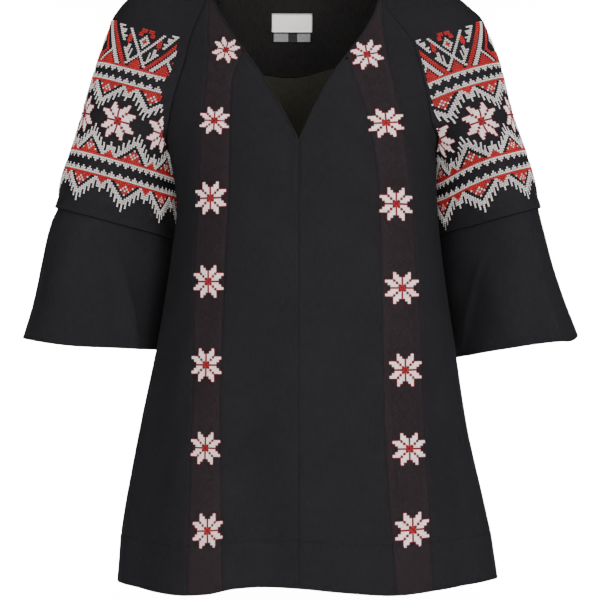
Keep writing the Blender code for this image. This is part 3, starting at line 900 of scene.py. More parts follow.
@dataclass(frozen=True)
class StudioPaper:
    """Seamless background paper, pale and matt, with the slight unevenness of a roll."""

    name: str
    color: str

    def material(self) -> bpy.types.Material:
        """The paper's material.

        Returns:
            The new material.
        """
        material, tree, shader = new_material(self.name)
        place = add_node(tree, "TexCoord").outputs["Object"]
        grain = add_node(tree, "TexNoise", {"Scale": 60.0, "Detail": 3.0}, {"Vector": place})
        bump = add_node(tree, "Bump", {"Strength": 0.05, "Distance": 0.001}, {"Height": grain.outputs["Fac"]})
        set_inputs(tree, shader, {"Base Color": linear(self.color), "Roughness": 0.9},
                   {"Normal": bump.outputs["Normal"]})
        return material


# Matt black with barely any sheen, and the same cloth with a breath of maroon in the ornament strips.
BLACK_CLOTH = WovenCloth("viscose_cotton_plain_woven_black", "#171618", "#1d1c1e")
STRIP_CLOTH = WovenCloth("viscose_cotton_plain_woven_black_strip", "#1b1719", "#231e20")
# The inner side of the back, seen through the neck: a browner black, with painted light that makes it lighter
# than the cloth to offset the shade inside the back.
BACK_INSIDE_PAINTED_LIGHT = WovenCloth("viscose_cotton_plain_woven_black_inner_side", "#2b2a25", "#36352e")
FACING_CLOTH = WovenCloth("viscose_cotton_plain_woven_facing", "#181717", "#21201f")
# Satin of finer yarns with a soft gloss: distances of yarns and slubs, relief, roughness, sheen and gloss.
SATIN = (0.5, 1.2, 0.05, 0.45, 0.03, 0.25)
LABEL_SATIN = WovenCloth("polyester_satin_woven_white", "#d9d6d4", "#e8e5e2", *SATIN)
TAB_SATIN = WovenCloth("polyester_satin_woven_grey", "#6b6a6b", "#858485", *SATIN)
TAB_BLACK = WovenCloth("polyester_satin_woven_black", "#18171a", "#211f22", *SATIN[:4], 0.02, 0.20)
# Bright threads with a silky gloss, and a dull one close to the cloth's own tone.
WHITE_THREAD = CottonThread("cotton_thread_mercerised_white", "#c8c0be", "#e4dcd9")
ROSE_THREAD = CottonThread("cotton_thread_mercerised_rose_white", "#f6dedb", "#fdf1ef")
RED_THREAD = CottonThread("cotton_thread_mercerised_red", "#a3181a", "#c32a28")
WINE_THREAD = CottonThread("cotton_thread_mercerised_wine", "#560b15", "#741320")
MAROON_THREAD = CottonThread(
    "cotton_thread_mercerised_dark_maroon", "#211b1e", "#2c2528", roughness=0.85, sheen=0.0, gloss=0.03
)
BACKDROP_PAPER = StudioPaper("paper_matt_coated_white", "#fbfbfa")


Finish = WovenCloth | CottonThread | StudioPaper


@cache
def material_of(finish: Finish) -> bpy.types.Material:
    """The material of a finish, made once when a piece first asks for it."""
    return finish.material()


def add_mesh(
    name: str, vertices: np.ndarray, faces: Sequence[Sequence[int]], finish: Finish,
    uv: np.ndarray | None = None,
) -> bpy.types.Object:
    """Adds one mesh with its finish.

    Args:
        name: Name of the piece.
        vertices: Its points.
        faces: Its faces as lists of indices.
        finish: Its finish.
        uv: Places on the flat cloth in metres, one for each point.

    Returns:
        The new object.
    """
    mesh = bpy.data.meshes.new(name)
    mesh.from_pydata(vertices.tolist(), [], faces)
    mesh.update()
    mesh.shade_smooth()
    if uv is not None:
        layer = mesh.uv_layers.new(name="cloth")
        corners = np.empty(len(mesh.loops), np.int32)
        mesh.loops.foreach_get("vertex_index", corners)
        layer.data.foreach_set("uv", uv[corners].astype(np.float32).ravel())
    mesh.materials.append(material_of(finish))
    piece = bpy.data.objects.new(name, mesh)
    bpy.context.scene.collection.objects.link(piece)
    return piece


def dress(piece: bpy.types.Object, slot: str, *nodes: str) -> bpy.types.Object:
    """Puts a piece on the garment's body and lets it stand for CAD nodes.

    Args:
        piece: The piece.
        slot: The slot's name; not used.
        nodes: Names of the CAD nodes.

    Returns:
        The same piece.
    """
    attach(piece, BODY)
    if nodes:
        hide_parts(*nodes)
    log.info("%s: %d faces", piece.name, len(piece.data.polygons))
    return piece


@dataclass(frozen=True)
class ClothPiece:
    """One cut piece of cloth as a shell with rounded edges, on a grid of points of its outer face.

    The grid's rows run down and its columns to the viewer's right. From the row closed_from on, it goes all
    round.
    """

    name: str
    grid: np.ndarray
    wall: float = WALL
    closed_from: int | None = None
    bulge: float = 0.4

    @property
    def ring(self) -> int:
        """First row that goes all round, or a number past the last row where none does."""
        return len(self.grid) + 1 if self.closed_from is None else self.closed_from

    def steps(self) -> tuple[np.ndarray, np.ndarray]:
        """Distances between the grid's points, across and along."""
        return tuple(np.linalg.norm(np.diff(self.grid, axis=axis), axis=-1) for axis in (1, 0))

    def cut(self) -> tuple[float, float, float]:
        """Width, length and area of the flat cloth that the shell takes.

        Returns:
            Metres and square metres.
        """
        across, along = self.steps()
        area = float((0.25 * (across[:-1] + across[1:]) * (along[:, :-1] + along[:, 1:])).sum())
        return float(across.sum(axis=1).max()), float(along.sum(axis=0).max()), area

    def build(self, finish: WovenCloth, inner_finish: WovenCloth | None = None) -> bpy.types.Object:
        """Builds the shell: an outer face, an inner face and a rounded rim between them.

        Args:
            finish: The cloth's finish.
            inner_finish: The finish of its inner face, where that differs.

        Returns:
            The new object.
        """
        rows, columns = self.grid.shape[:2]
        index = np.arange(rows * columns).reshape(rows, columns)
        index[self.ring:, -1] = index[self.ring:, 0]
        count = rows * columns
        normals = grid_normals(self.grid, self.ring)
        outer, inner = self.grid.reshape(-1, 3), (self.grid - normals * self.wall).reshape(-1, 3)
        faces = []
        for a, b in zip(index[:-1], index[1:]):
            for i in range(columns - 1):
                faces.append((a[i], b[i], b[i + 1], a[i + 1]))
                faces.append((count + a[i + 1], count + b[i + 1], count + b[i], count + a[i]))
        rim_points, rim_faces = self.rim(index, normals)
        across, along = self.steps()
        u = running(across)
        u -= u[:, columns // 2:columns // 2 + 1]
        v = np.broadcast_to(-running(along.mean(axis=1))[:, None], u.shape)
        flat = np.stack([u, v], axis=-1).reshape(-1, 2)
        vertices = np.concatenate([outer, inner, rim_points])
        uv = np.concatenate([flat, flat, np.zeros((len(rim_points), 2))])
        corners = np.array(faces + rim_faces)
        used, kept = np.unique(corners, return_inverse=True)
        piece = add_mesh(self.name, vertices[used], kept.reshape(corners.shape).tolist(), finish, uv[used])
        if inner_finish is not None:
            piece.data.materials.append(material_of(inner_finish))
            sides = np.zeros(len(corners), np.int32)
            sides[1:len(faces):2] = 1
            piece.data.polygons.foreach_set("material_index", sides)
        return piece

    def rim_paths(self) -> list[list[tuple[int, int]]]:
        """Closed paths of grid places round the shell's free edges.

        Returns:
            One list of places for each edge.
        """
        rows, columns = self.grid.shape[:2]
        open_rows = min(self.ring, rows - 1)
        top = [(0, i) for i in range(columns - 1, 0, -1)]
        left = [(j, 0) for j in range(open_rows)]
        bottom = [(rows - 1, i) for i in range(columns - 1)]
        right = [(j, columns - 1) for j in range(open_rows, 0, -1)]
        return [top + left + right, bottom] if self.ring < rows else [top + left + bottom + right]

    def rim(self, index: np.ndarray, normals: np.ndarray) -> tuple[np.ndarray, list[tuple[int, ...]]]:
        """Points and faces of the rounded rim.

        Args:
            index: Indices of the outer face's points.
            normals: Directions out of the cloth.

        Returns:
            The rim's points, and its faces.
        """
        rows, columns = self.grid.shape[:2]
        count = rows * columns
        points, faces = [], []
        for path in self.rim_paths():
            first = 2 * count + len(points)
            for j, i in path:
                out = np.zeros(3)
                if j == 0:
                    out += unit(self.grid[0, i] - self.grid[1, i])
                if j == rows - 1:
                    out += unit(self.grid[-1, i] - self.grid[-2, i])
                if j < self.ring and i == 0:
                    out += unit(self.grid[j, 0] - self.grid[j, 1])
                if j < self.ring and i == columns - 1:
                    out += unit(self.grid[j, -1] - self.grid[j, -2])
                middle = self.grid[j, i] - normals[j, i] * self.wall * 0.5
                points.append(middle + unit(out) * self.wall * self.bulge)
            for k, here in enumerate(path):
                after = (k + 1) % len(path)
                a, b, m, n = index[here], index[path[after]], first + k, first + after
                faces += [(a, b, n, m), (m, n, count + b, count + a)]
        return np.array(points), faces

    def sew(
        self, finish: WovenCloth, slot: str, rests_on: str, *nodes: str,
        with_pieces: Sequence[bpy.types.Object] = (), inner_finish: WovenCloth | None = None,
    ) -> bpy.types.Object:
        """Args:
            finish: The cloth's finish.
            slot: Name of its material slot.
            rests_on: Name of the piece that it rests on; not used.
            nodes: The CAD nodes that it stands for.
            with_pieces: Pieces that belong on it; not used.
            inner_finish: The finish of its inner face, where that differs.

        Returns:
            The new object.
        """
        piece = dress(self.build(finish, inner_finish), slot, *nodes)
        width, length, area = self.cut()
        min(area, width * length)
        list(with_pieces)
        log.info("%s is cut %.0f x %.0f mm, %.4f square metres", piece.name, width * 1e3, length * 1e3, area)
        return piece


@dataclass(frozen=True)
class Thread:
    """One bout of thread that lies on the cloth, by its half width and its rise in metres.

    Its ridge starts at the share crest of its length and its foot at the share foot. Its ends dive to the
    share dive of its lift, and its underside is sunk into the cloth.
    """

    width: float
    rise: float
    sunk: float = 0.00008
    foot: float = 0.18
    crest: float = 0.20
    dive: float = 0.3

    def lay(self, start: np.ndarray, end: np.ndarray, normal: np.ndarray, lift: float) -> np.ndarray:
        """Lays threads from point to point.

        Args:
            start: Points where the threads come up.
            end: Points where they go down.
            normal: Directions straight out of the cloth.
            lift: How far over the cloth they lie.

        Returns:
            Eight points for each thread.
        """
        run = end - start
        aside = unit(np.cross(normal, run)) * self.width
        low = normal * (lift - self.sunk)
        high = normal * self.rise + normal * lift
        tip = normal * (lift * self.dive - self.sunk)
        points = [start + tip]
        for foot, crest in ((self.foot, self.crest), (1.0 - self.foot, 1.0 - self.crest)):
            base = start + run * foot + low
            points += [base + aside, start + run * crest + high, base - aside]
        return np.stack(points + [end + tip], axis=1)


THREAD_FACES = (
    (1, 2, 5, 4), (3, 6, 5, 2), (1, 4, 6, 3),
    (0, 2, 1), (0, 3, 2), (0, 1, 3), (7, 4, 5), (7, 5, 6), (7, 6, 4),
)


def add_threads(name: str, parts: Sequence[np.ndarray], finish: CottonThread) -> bpy.types.Object:
    """Adds many threads as one piece.

    Args:
        name: Name of the piece.
        parts: Arrays of eight points for each thread.
        finish: The thread's finish.

    Returns:
        The new object.
    """
    points = np.concatenate(parts)
    faces = [tuple(8 * k + c for c in face) for k in range(len(points)) for face in THREAD_FACES]
    return add_mesh(name, points.reshape(-1, 3), faces, finish)


def cell_side(corners: np.ndarray) -> float:
    """Mean width of cells, each given by four corners in order round it."""
    return float(np.linalg.norm(corners[:, 1] - corners[:, 0], axis=-1).mean())


@dataclass(frozen=True)
class CrossStitch:
    """Two raised threads crossed in a cell.

    The spread is how much of its cell the cross fills, the share is half the thread's width in stitch widths,
    and the lift is how much higher it lies than its neighbours.
    """

    spread: float = 0.88
    lift: float = 0.0
    share: float = 0.25
    rise: float = 0.0004
    under_lift: float = 0.0001
    over_lift: float = 0.00038

    def lay(self, corners: np.ndarray, normal: np.ndarray) -> np.ndarray:
        """Lays a cross in each cell.

        Args:
            corners: Four corners of each cell.
            normal: Directions out of the cloth.

        Returns:
            Eight points for each of a cross's two threads.
        """
        thread = Thread(cell_side(corners) * self.spread * self.share, self.rise)
        middle = corners.mean(axis=1, keepdims=True)
        tucked = middle + (corners - middle) * self.spread
        under = thread.lay(tucked[:, 3], tucked[:, 1], normal, self.under_lift + self.lift)
        over = thread.lay(tucked[:, 0], tucked[:, 2], normal, self.over_lift + self.lift)
        return np.concatenate([under, over])


@dataclass(frozen=True)
class EdgeStitch:
    """A thread just outside one side of a cell, which runs a share of that side past both its ends."""

    thread: Thread = Thread(0.00058, 0.00030)
    away: float = 0.00048
    past: float = 0.20
    lift: float = 0.00012

    def lay(self, corners: np.ndarray, normal: np.ndarray, side: int) -> np.ndarray:
        """Threads along the cells' sides: 0 above, 1 to the right, 2 below or 3 to the left.

        Args:
            corners: Four corners of each cell.
            normal: Directions out of the cloth.
            side: The side's number.

        Returns:
            Eight points for each thread.
        """
        start, end = corners[:, side], corners[:, (side + 1) % 4]
        past = (end - start) * self.past
        out = unit(0.5 * (start + end) - corners.mean(axis=1)) * self.away
        return self.thread.lay(start + out - past, end + out + past, normal, self.lift)


@dataclass(frozen=True)
class SlantStitch:
    """One flat slanted thread in a cell."""

    share: float = 0.22
    rise: float = 0.00026
    lift: float = 0.00008

    def lay(self, corners: np.ndarray, normal: np.ndarray, leaning: np.ndarray) -> np.ndarray:
        """Threads in the cells, each leaning to the right where leaning says so.

        Args:
            corners: Four corners of each cell.
            normal: Directions out of the cloth.
            leaning: Whether each leans to the right.

        Returns:
            Eight points for each thread.
        """
        thread = Thread(cell_side(corners) * self.share, self.rise)
        start = np.where(leaning[:, None], corners[:, 3], corners[:, 0])
        end = np.where(leaning[:, None], corners[:, 1], corners[:, 2])
        return thread.lay(start, end, normal, self.lift)


PLAIN_CROSS = CrossStitch()
PETAL_CROSS = CrossStitch(0.96, 0.0, 0.285)
LINE_CROSS = CrossStitch(1.45, 0.0006, 0.30)
DOT_CROSS = CrossStitch(2.05, 0.0007, 0.30)


def outward(corners: np.ndarray, form: SleeveForm | None = None) -> np.ndarray:
    """Directions out of the cloth at cells.

    Args:
        corners: Four corners of each cell.
        form: The sleeve that they lie on, or None for the body.

    Returns:
        Unit normals.
    """
    normal = unit(np.cross(corners[:, 2] - corners[:, 0], corners[:, 1] - corners[:, 3]))
    out = corners.mean(axis=1)
    if form is not None:
        out[:, 0] -= form.side.value * ARM_MIDDLE_X
    out[:, 2] = 0.0
    return np.where(np.sum(normal * out, axis=-1, keepdims=True) < 0.0, -normal, normal)


class Dye(Enum):
    """Colours of the embroidery thread."""

    WHITE = WHITE_THREAD
    ROSE = ROSE_THREAD
    RED = RED_THREAD
    WINE = WINE_THREAD


@dataclass(frozen=True)
class StarChart:
    """The eight-point star, 25 fine stitches across: rose-white petals round a red heart with wine lines."""

    reach: int = 12

    def stitch(self, across: int, down: int) -> Dye | None:
        """Colour of one stitch, counted from the star's middle.

        Args:
            across: Stitches to its right.
            down: Stitches below it.

        Returns:
            The thread's colour, or None for bare cloth.
        """
        a, b = max(abs(across), abs(down)), min(abs(across), abs(down))
        if a <= 2:
            return Dye.WINE if a == 0 or b == 2 else Dye.RED
        if b == 0:
            return Dye.WINE if a <= 8 else None
        if a == b:
            return {3: Dye.ROSE, 4: Dye.WINE, 5: Dye.ROSE, 6: Dye.WINE}.get(a)
        longest = 8 if b <= 2 else 10 if b <= 4 else 12
        return Dye.ROSE if b <= 6 and a <= longest else None

    def cells(self, dye: Dye) -> list[tuple[int, int]]:
        """Places of the stitches of one colour, across and down from the star's middle."""
        span = range(-self.reach, self.reach + 1)
        return [(i, j) for j in span for i in span if self.stitch(i, j) is dye]

    def open_cells(self, side: int) -> list[tuple[int, int]]:
        """Places of the petals' stitches with nothing beyond one side: above, right, below or left."""
        across, down = ((0, -1), (1, 0), (0, 1), (-1, 0))[side]
        return [(i, j) for i, j in self.cells(Dye.ROSE) if self.stitch(i + across, j + down) is None]

    def stitches(
        self, dye: Dye, corners_of: Callable[[list[tuple[int, int]]], np.ndarray],
        form: SleeveForm | None = None,
    ) -> list[np.ndarray]:
        """Threads of one colour of the stars: the wine ones lie over the petals and also run round them.

        Args:
            dye: The colour.
            corners_of: Gives the corners of stitches by their places in the star.
            form: The sleeve that the stars lie on, or None for the body.

        Returns:
            Arrays of eight points for each thread.
        """
        places = self.cells(dye)
        if not places:
            return []
        if dye is not Dye.WINE:
            corners = corners_of(places)
            return [PETAL_CROSS.lay(corners, outward(corners, form))]
        lines = corners_of([(i, j) for i, j in places if (i == 0) != (j == 0)])
        dots = corners_of([(i, j) for i, j in places if abs(i) == abs(j)])
        threads = [LINE_CROSS.lay(lines, outward(lines, form)), DOT_CROSS.lay(dots, outward(dots, form))]
        for side in range(4):
            corners = corners_of(self.open_cells(side))
            threads.append(EdgeStitch().lay(corners, outward(corners, form), side))
        return threads


@dataclass(frozen=True)
class BandChart:
    """The bands round the sleeve below the frieze, 24 stitches to a repeat."""

    repeat: int = 24
    first_line: int = 21
    second_line: int = 30
    third_line: int = 66
    fourth_line: int = 76
    last_row: int = 91
    star_row: float = 48.5

    def toothed(self, across: int, from_line: int, depth: int) -> Dye | None:
        """A black road between two rows of white teeth, four stitches apart.

        Args:
            across: Column.
            from_line: Rows below its upper line.
            depth: Rows to its lower line.

        Returns:
            The thread's colour, or None for bare cloth.
        """
        near = min(from_line, depth - from_line)
        tooth = (across if from_line < depth - from_line else across + 2) % 4
        if near <= 1 or (near == 2 and tooth != 0) or (near == 3 and tooth == 2):
            return Dye.WHITE
        return None

    def zigzag(self, across: int, from_line: int) -> Dye | None:
        """Large and small teeth that hang from a line: dotted red hearts, a black line and a white comb.

        Args:
            across: Column, counted from a large tooth.
            from_line: Rows from the line.

        Returns:
            The thread's colour, or None for bare cloth.
        """
        u = (across + self.repeat // 2) % self.repeat - self.repeat // 2
        w = self.repeat // 2 - abs(u)
        big, small = abs(u) + from_line, w + from_line
        if from_line <= 0 or big in (7, 8):
            return None
        if big <= 6:
            dotted = abs(u) + abs(from_line - 3) == 1 or (big == 6 and from_line % 2 == 0)
            return Dye.WHITE if dotted else Dye.RED
        if small <= 3:
            return Dye.RED
        if big <= (14 if u % 2 == 0 else 11) or (big > 12 and small <= (7 if w % 2 == 0 else 6)):
            return Dye.WHITE
        return None

    def stitch(self, across: int, row: int) -> Dye | None:
        """Colour of one stitch of the bands.

        Args:
            across: Column, counted from a large tooth.
            row: Row.

        Returns:
            The thread's colour, or None for bare cloth.
        """
        if row in (self.first_line, self.second_line, self.third_line, self.fourth_line):
            return Dye.RED
        if row < self.second_line:
            return self.toothed(across, row - self.first_line, self.second_line - self.first_line)
        if row < self.third_line:
            return self.zigzag(across, row - self.second_line) or self.zigzag(across, self.third_line - row)
        if row < self.fourth_line:
            return self.toothed(across, row - self.third_line, self.fourth_line - self.third_line)
        return self.zigzag(across, row - self.fourth_line)


@dataclass(frozen=True)
class FriezeChart:
    """The frieze over the bands: wide V bars with a lattice inside, 88 stitches to a repeat."""

    repeat: int = 88

    def stitch(self, across: int, up: int) -> Dye | None:
        """Colour of one stitch, counted across from a V's middle and up from the first red line.

        Args:
            across: Column.
            up: Stitches up.

        Returns:
            The thread's colour, or None for bare cloth.
        """
        u = abs((across + self.repeat // 2) % self.repeat - self.repeat // 2)
        slope = u - up
        if 5 <= slope <= 7:
            return Dye.RED
        if 9 <= slope <= 11:
            return Dye.WHITE
        return self.between(u, up) if slope > 4 else self.lattice(u, up)

    def between(self, u: int, up: int) -> Dye | None:
        """The part between two V bars: a red triangle, a white leg, and a red frame round a small lozenge.

        Args:
            u: Stitches across from the V's middle.
            up: Stitches up from the line.

        Returns:
            The thread's colour, or None for bare cloth.
        """
        slope, falling = u - up, u + up
        lozenge = abs(u - 35) + abs(up - 11)
        if slope >= 13 and falling <= 23:
            return Dye.RED
        if 25 <= falling <= 26 and up <= 8:
            return Dye.WHITE
        if (15 <= slope <= 16) if up > 7 else (29 <= falling <= 31):
            return Dye.RED
        if lozenge <= 4:
            return Dye.RED if lozenge <= 1 else Dye.ROSE
        return Dye.RED if up <= 5 and falling >= 31 and slope <= 44 else None

    def lattice(self, u: int, up: int) -> Dye | None:
        """The part inside a V: a white cross with arms, a lozenge, hooks, drops and a chevron.

        Args:
            u: Stitches across from the V's middle.
            up: Stitches up from the line.

        Returns:
            The thread's colour, or None for bare cloth.
        """
        slope, lozenge = u - up, u + abs(up - 14)
        if lozenge <= 3:
            return Dye.RED if lozenge <= 1 else Dye.WHITE
        if u + up <= 5 and u <= 3:
            return Dye.RED
        arms = (8 <= up <= 19 and slope in (-8, -7)) or (2 <= up <= 8 and u + up in (8, 7))
        legs = (3 <= up <= 9 and slope in (1, 2)) or (13 <= up <= 20 and slope in (0, 1))
        barbs = (u == 6 and 5 <= up <= 9) or (u in (8, 9) and 8 <= up <= 11)
        hooks = up == 20 and 17 <= u <= 20 or up in (17, 18) and 15 <= u <= 18 or up == 15 and 13 <= u <= 15
        if arms or legs or barbs or hooks:
            return Dye.WHITE
        drops = (abs(u - 10) <= 1 and 13 <= up <= 16) or (u == 10 and 12 <= up <= 17)
        chevron = (1 <= u <= 4 and up in (19, 20)) or (3 <= u <= 5 and up in (17, 18))
        return Dye.RED if drops or chevron else None


@dataclass
class SleeveNet:
    """Rows and columns of stitches laid over an upper sleeve.

    A row is cut square to the arm, and the columns are counted forwards round it from its outer line.
    """

    form: SleeveForm
    top: float = 0.1241
    row_pitch: float = 0.00239
    band_pitch: float = 0.002146
    frieze_pitch: float = 0.00195
    star_down: float = 0.00167
    star_across: float = 0.00145
    ring_margin: float = 0.0012
    ring_gap: float = 0.0005
    bend_start: float = 0.095
    bend_run: float = 0.085
    drift_start: float = 0.215
    drift_run: float = 0.050
    margin_row: float = 27.0
    margin_rows: float = 18.0
    grid_rows: int = 321
    grid_places: int = 361

    def __post_init__(self) -> None:
        """Measures the sleeve once."""
        self.measures = SLEEVE_MEASURES[self.form.side]
        self.points, self.down = self.dense()
        self.edges: dict[tuple[float, bool], tuple[np.ndarray, np.ndarray, float, float]] = {}
        base = self.line(np.full(self.grid_places, self.top + BandChart.first_line * self.row_pitch))
        self.half_base = float(self.lengths(base)[0])

    def dense(self) -> tuple[np.ndarray, np.ndarray]:
        """Points of the sleeve on a fine grid, and their distances down the arm.

        Returns:
            The points and distances.
        """
        rows = np.linspace(0.0, LIP_ROW, self.grid_rows)
        places = np.linspace(-1.0, 1.0, self.grid_places)
        lift = self.form.lip_lift(rows)[:, None] + sleeve_relief(self.form, rows, places)
        points = self.form.surface(rows, places, lift)
        if self.form.side is Side.LEFT:
            points = points[:, ::-1]
        return points, math.sin(ARM_TILT) * np.abs(points[..., 0]) - math.cos(ARM_TILT) * points[..., 2]

    def line(self, level: np.ndarray) -> np.ndarray:
        """Points where the fine grid's columns cross a distance down the arm, one for each column.

        Args:
            level: Distance for each column.

        Returns:
            The points, or nan where the sleeve doesn't reach.
        """
        cut = np.full((self.grid_places, 3), np.nan)
        for i, column in enumerate(self.down.T):
            if column[0] <= level[i] <= column[-1]:
                cut[i] = [np.interp(level[i], column, self.points[:, i, c]) for c in range(3)]
        return cut

    def lengths(self, cut: np.ndarray) -> np.ndarray:
        """Distances round a cut from the outer line, forwards positive, one for each column."""
        total = running(np.nan_to_num(np.linalg.norm(np.diff(cut, axis=0), axis=-1)))
        return total[len(total) // 2] - total

    def columns(self, length: np.ndarray, row: float, half_now: float) -> np.ndarray:
        """Column numbers at distances round a cut.

        Args:
            length: Distances from the outer line, forwards positive.
            row: Row of the chart.
            half_now: Distance from the outer line to the front seam on this cut.

        Returns:
            Column numbers, which grow towards the front seam.
        """
        own = self.measures
        if row <= BandChart.first_line:
            return (length * self.half_base / half_now - own.frieze_start) / self.frieze_pitch
        down = self.top + row * self.row_pitch
        drift = own.drift * float(1.0 - ease((down - self.drift_start) / self.drift_run))
        bent = np.clip(length - self.bend_start, 0.0, self.bend_run) * (1.0 - 1.0 / own.stretch)
        return (length - bent - own.band_start - drift) / self.band_pitch

    def sag(self, length: np.ndarray) -> np.ndarray:
        """How far a row dips down the arm in front, at distances round it."""
        return self.measures.sag * ease((length - 0.080) / 0.110) * (1.0 - ease((-length - 0.10) / 0.1))

    def edge(self, row: float, frieze: bool) -> tuple[np.ndarray, np.ndarray, float, float]:
        """One line of the net.

        Args:
            row: Row of the chart, whole or not.
            frieze: Whether the columns are the frieze's.

        Returns:
            Column numbers in ascending order, their points, and the first and last numbers clear of the seam.
        """
        key = (round(row, 4), frieze)
        if key not in self.edges:
            level = np.full(self.grid_places, self.top + row * self.row_pitch)
            cut = self.line(level)
            if self.measures.sag:
                cut = self.line(level + self.sag(self.lengths(cut)))
            length = self.lengths(cut)
            half = float(length[0])
            number = self.columns(length, row if frieze else max(row, BandChart.first_line + 0.5), half)
            ring = np.linalg.norm(cut[0] - cut[-1]) < self.ring_gap
            loss = self.measures.margin_loss * float(ease((row - self.margin_row) / self.margin_rows))
            margin = self.ring_margin if ring else self.measures.margin - loss
            margin = margin / half * (number[0] - number[-1]) / 2.0
            self.edges[key] = (number[::-1], cut[::-1], number[-1] + margin, number[0] - margin)
        return self.edges[key]

    def reach(self, upper: float, lower: float, frieze: bool) -> tuple[float, float]:
        """First and last column numbers that are clear of the seam on two lines."""
        first, second = self.edge(upper, frieze), self.edge(lower, frieze)
        return max(first[2], second[2]), min(first[3], second[3])

    def corners(self, rows: tuple[float, float], start: np.ndarray, width: float, frieze: bool) -> np.ndarray:
        """Corners of the cells of one row.

        Args:
            rows: The row's upper and lower line.
            start: Column numbers at which the cells start.
            width: Width of a cell in columns.
            frieze: Whether the columns are the frieze's.

        Returns:
            Four corners of each cell, in order round it.
        """
        sides, end = [], start + width
        for row, at in ((rows[0], start), (rows[0], end), (rows[1], end), (rows[1], start)):
            number, line, _, _ = self.edge(row, frieze)
            sides.append(np.stack([np.interp(at, number, line[:, c]) for c in range(3)], axis=-1))
        return np.stack(sides, axis=1)

    def cells(
        self, chart: Callable[[int, int], Dye | None], rows: range, frieze: bool
    ) -> dict[Dye, np.ndarray]:
        """Corners of the stitches of each colour.

        Args:
            chart: Colour of a stitch by its column and row.
            rows: Rows of the chart.
            frieze: Whether these rows are the frieze's.

        Returns:
            Arrays of four corners by colour.
        """
        found: dict[Dye, list[np.ndarray]] = {}
        for row in rows:
            low, high = self.reach(row, row + 1, frieze)
            dyes = {k: chart(k, row) for k in range(math.ceil(low), math.floor(high))}
            for dye in Dye:
                start = np.array([k for k, own in dyes.items() if own is dye], float)
                if len(start):
                    found.setdefault(dye, []).append(self.corners((row, row + 1), start, 1.0, frieze))
        return {dye: np.concatenate(parts) for dye, parts in found.items()}

    def star_corners(self, places: Sequence[tuple[int, int]], bands: BandChart) -> np.ndarray:
        """Corners of stitches of all the stars between the teeth, which have a finer net of their own.

        Args:
            places: Places of the stitches in a star, across and down from its middle.
            bands: Chart of the bands that the stars stand in.

        Returns:
            Four corners of each stitch that is clear of the seam.
        """
        found = []
        tall, wide = self.star_down / self.row_pitch, self.star_across / self.band_pitch
        for down in sorted({j for _, j in places}):
            upper = bands.star_row + (down - 0.5) * tall
            low, high = self.reach(upper, upper + tall, False)
            own = np.array([i for i, j in places if j == down], float)
            for turn in range(math.floor(low / bands.repeat) - 1, math.ceil(high / bands.repeat) + 1):
                start = (turn + 0.5) * bands.repeat + 0.5 + (own - 0.5) * wide
                start = start[(start >= low) & (start + wide <= high)]
                if len(start):
                    found.append(self.corners((upper, upper + tall), start, wide, False))
        return np.concatenate(found)


def sleeve_relief(form: SleeveForm, rows: np.ndarray, places: np.ndarray) -> np.ndarray:
    """Soft creases of slack under the armpit, for each row and place.

    Args:
        form: The sleeve.
        rows: Rows of the grid.
        places: Places of the grid.

    Returns:
        Heights.
    """
    row, place = np.meshgrid(rows, places, indexing="ij")
    phase = SLEEVE_MEASURES[form.side].crease_phase
    return sum(height * np.sin(across * place + along * row + phase) * ease((row - start) / run)
               for height, across, along, start, run in SLEEVE_RIPPLES)


def body_relief(z: np.ndarray, degrees: np.ndarray) -> np.ndarray:
    """Soft creases of the body that its large folds leave out.

    Args:
        z: Heights.
        degrees: Degrees round the body.

    Returns:
        Heights over the folded form.
    """
    angle = np.radians(degrees)
    wave = sum(height * np.sin(angle * across + along * z) for height, across, along in BODY_RIPPLES)
    relief = wave * ease((RIPPLE_TOP_Z - z) / RIPPLE_RUN)
    for side in Side:
        line = turn_between(degrees, DRAG_DEGREES * side.value) + DRAG_SLOPE * side.value * (z - DRAG_Z)
        for height, offset, middle_z in DRAG_RIDGES:
            ridge = bell(line + offset * side.value, DRAG_SPREAD) * bell(z - middle_z, DRAG_LENGTH)
            relief = relief + height * ridge
    return relief + HEM_RIPPLE * np.sin(angle * HEM_WAVES) * bell(z - HEM_Z - HEM_DEPTH, HEM_RIPPLE_SPREAD)


@dataclass(frozen=True)
class SeamShape:
    """How the cloth turns down into a seam that is pressed open."""

    dip: float = 0.0006
    spread: float = 0.0015
    swell: float = 0.00012
    swell_at: float = 0.0045
    swell_spread: float = 0.003
    pucker: float = 0.35
    pucker_mm: float = 9.0
    wander: float = 1.3
    wander_rate: float = 90.0

    def lift(self, distance: np.ndarray, along: np.ndarray) -> np.ndarray:
        """Height of the cloth at distances from a seam and along it, below zero at the seam itself.

        Args:
            distance: Distances from the seam.
            along: Distances along it.

        Returns:
            Heights.
        """
        phase = along * 2.0 * math.pi / (self.pucker_mm / 1000.0)
        phase = phase + self.wander * np.sin(along * self.wander_rate)
        dip = self.dip * bell(distance, self.spread) * (1.0 + self.pucker * np.sin(phase))
        return self.swell * bell(distance - self.swell_at, self.swell_spread) - dip


SEAM = SeamShape()


@dataclass(frozen=True)
class Label:
    """A woven label on the facing's inner side: its upper edge, sizes, middle across and lift."""

    name: str
    top: float
    height: float
    width: float
    middle: float
    lift: float = -(WALL + SEAM_GAP + FACING_WALL + LABEL_WALL)


WOVEN_LABEL = Label("woven_label", -0.0485, 0.022, 0.050, -0.010)
SIZE_TAB = Label("size_tab", -0.0720, 0.010, 0.046, -0.010)
TAB_MIDDLE = Label("size_tab_middle", -0.0719, 0.0104, 0.0105, -0.0090, SIZE_TAB.lift - 0.00075)


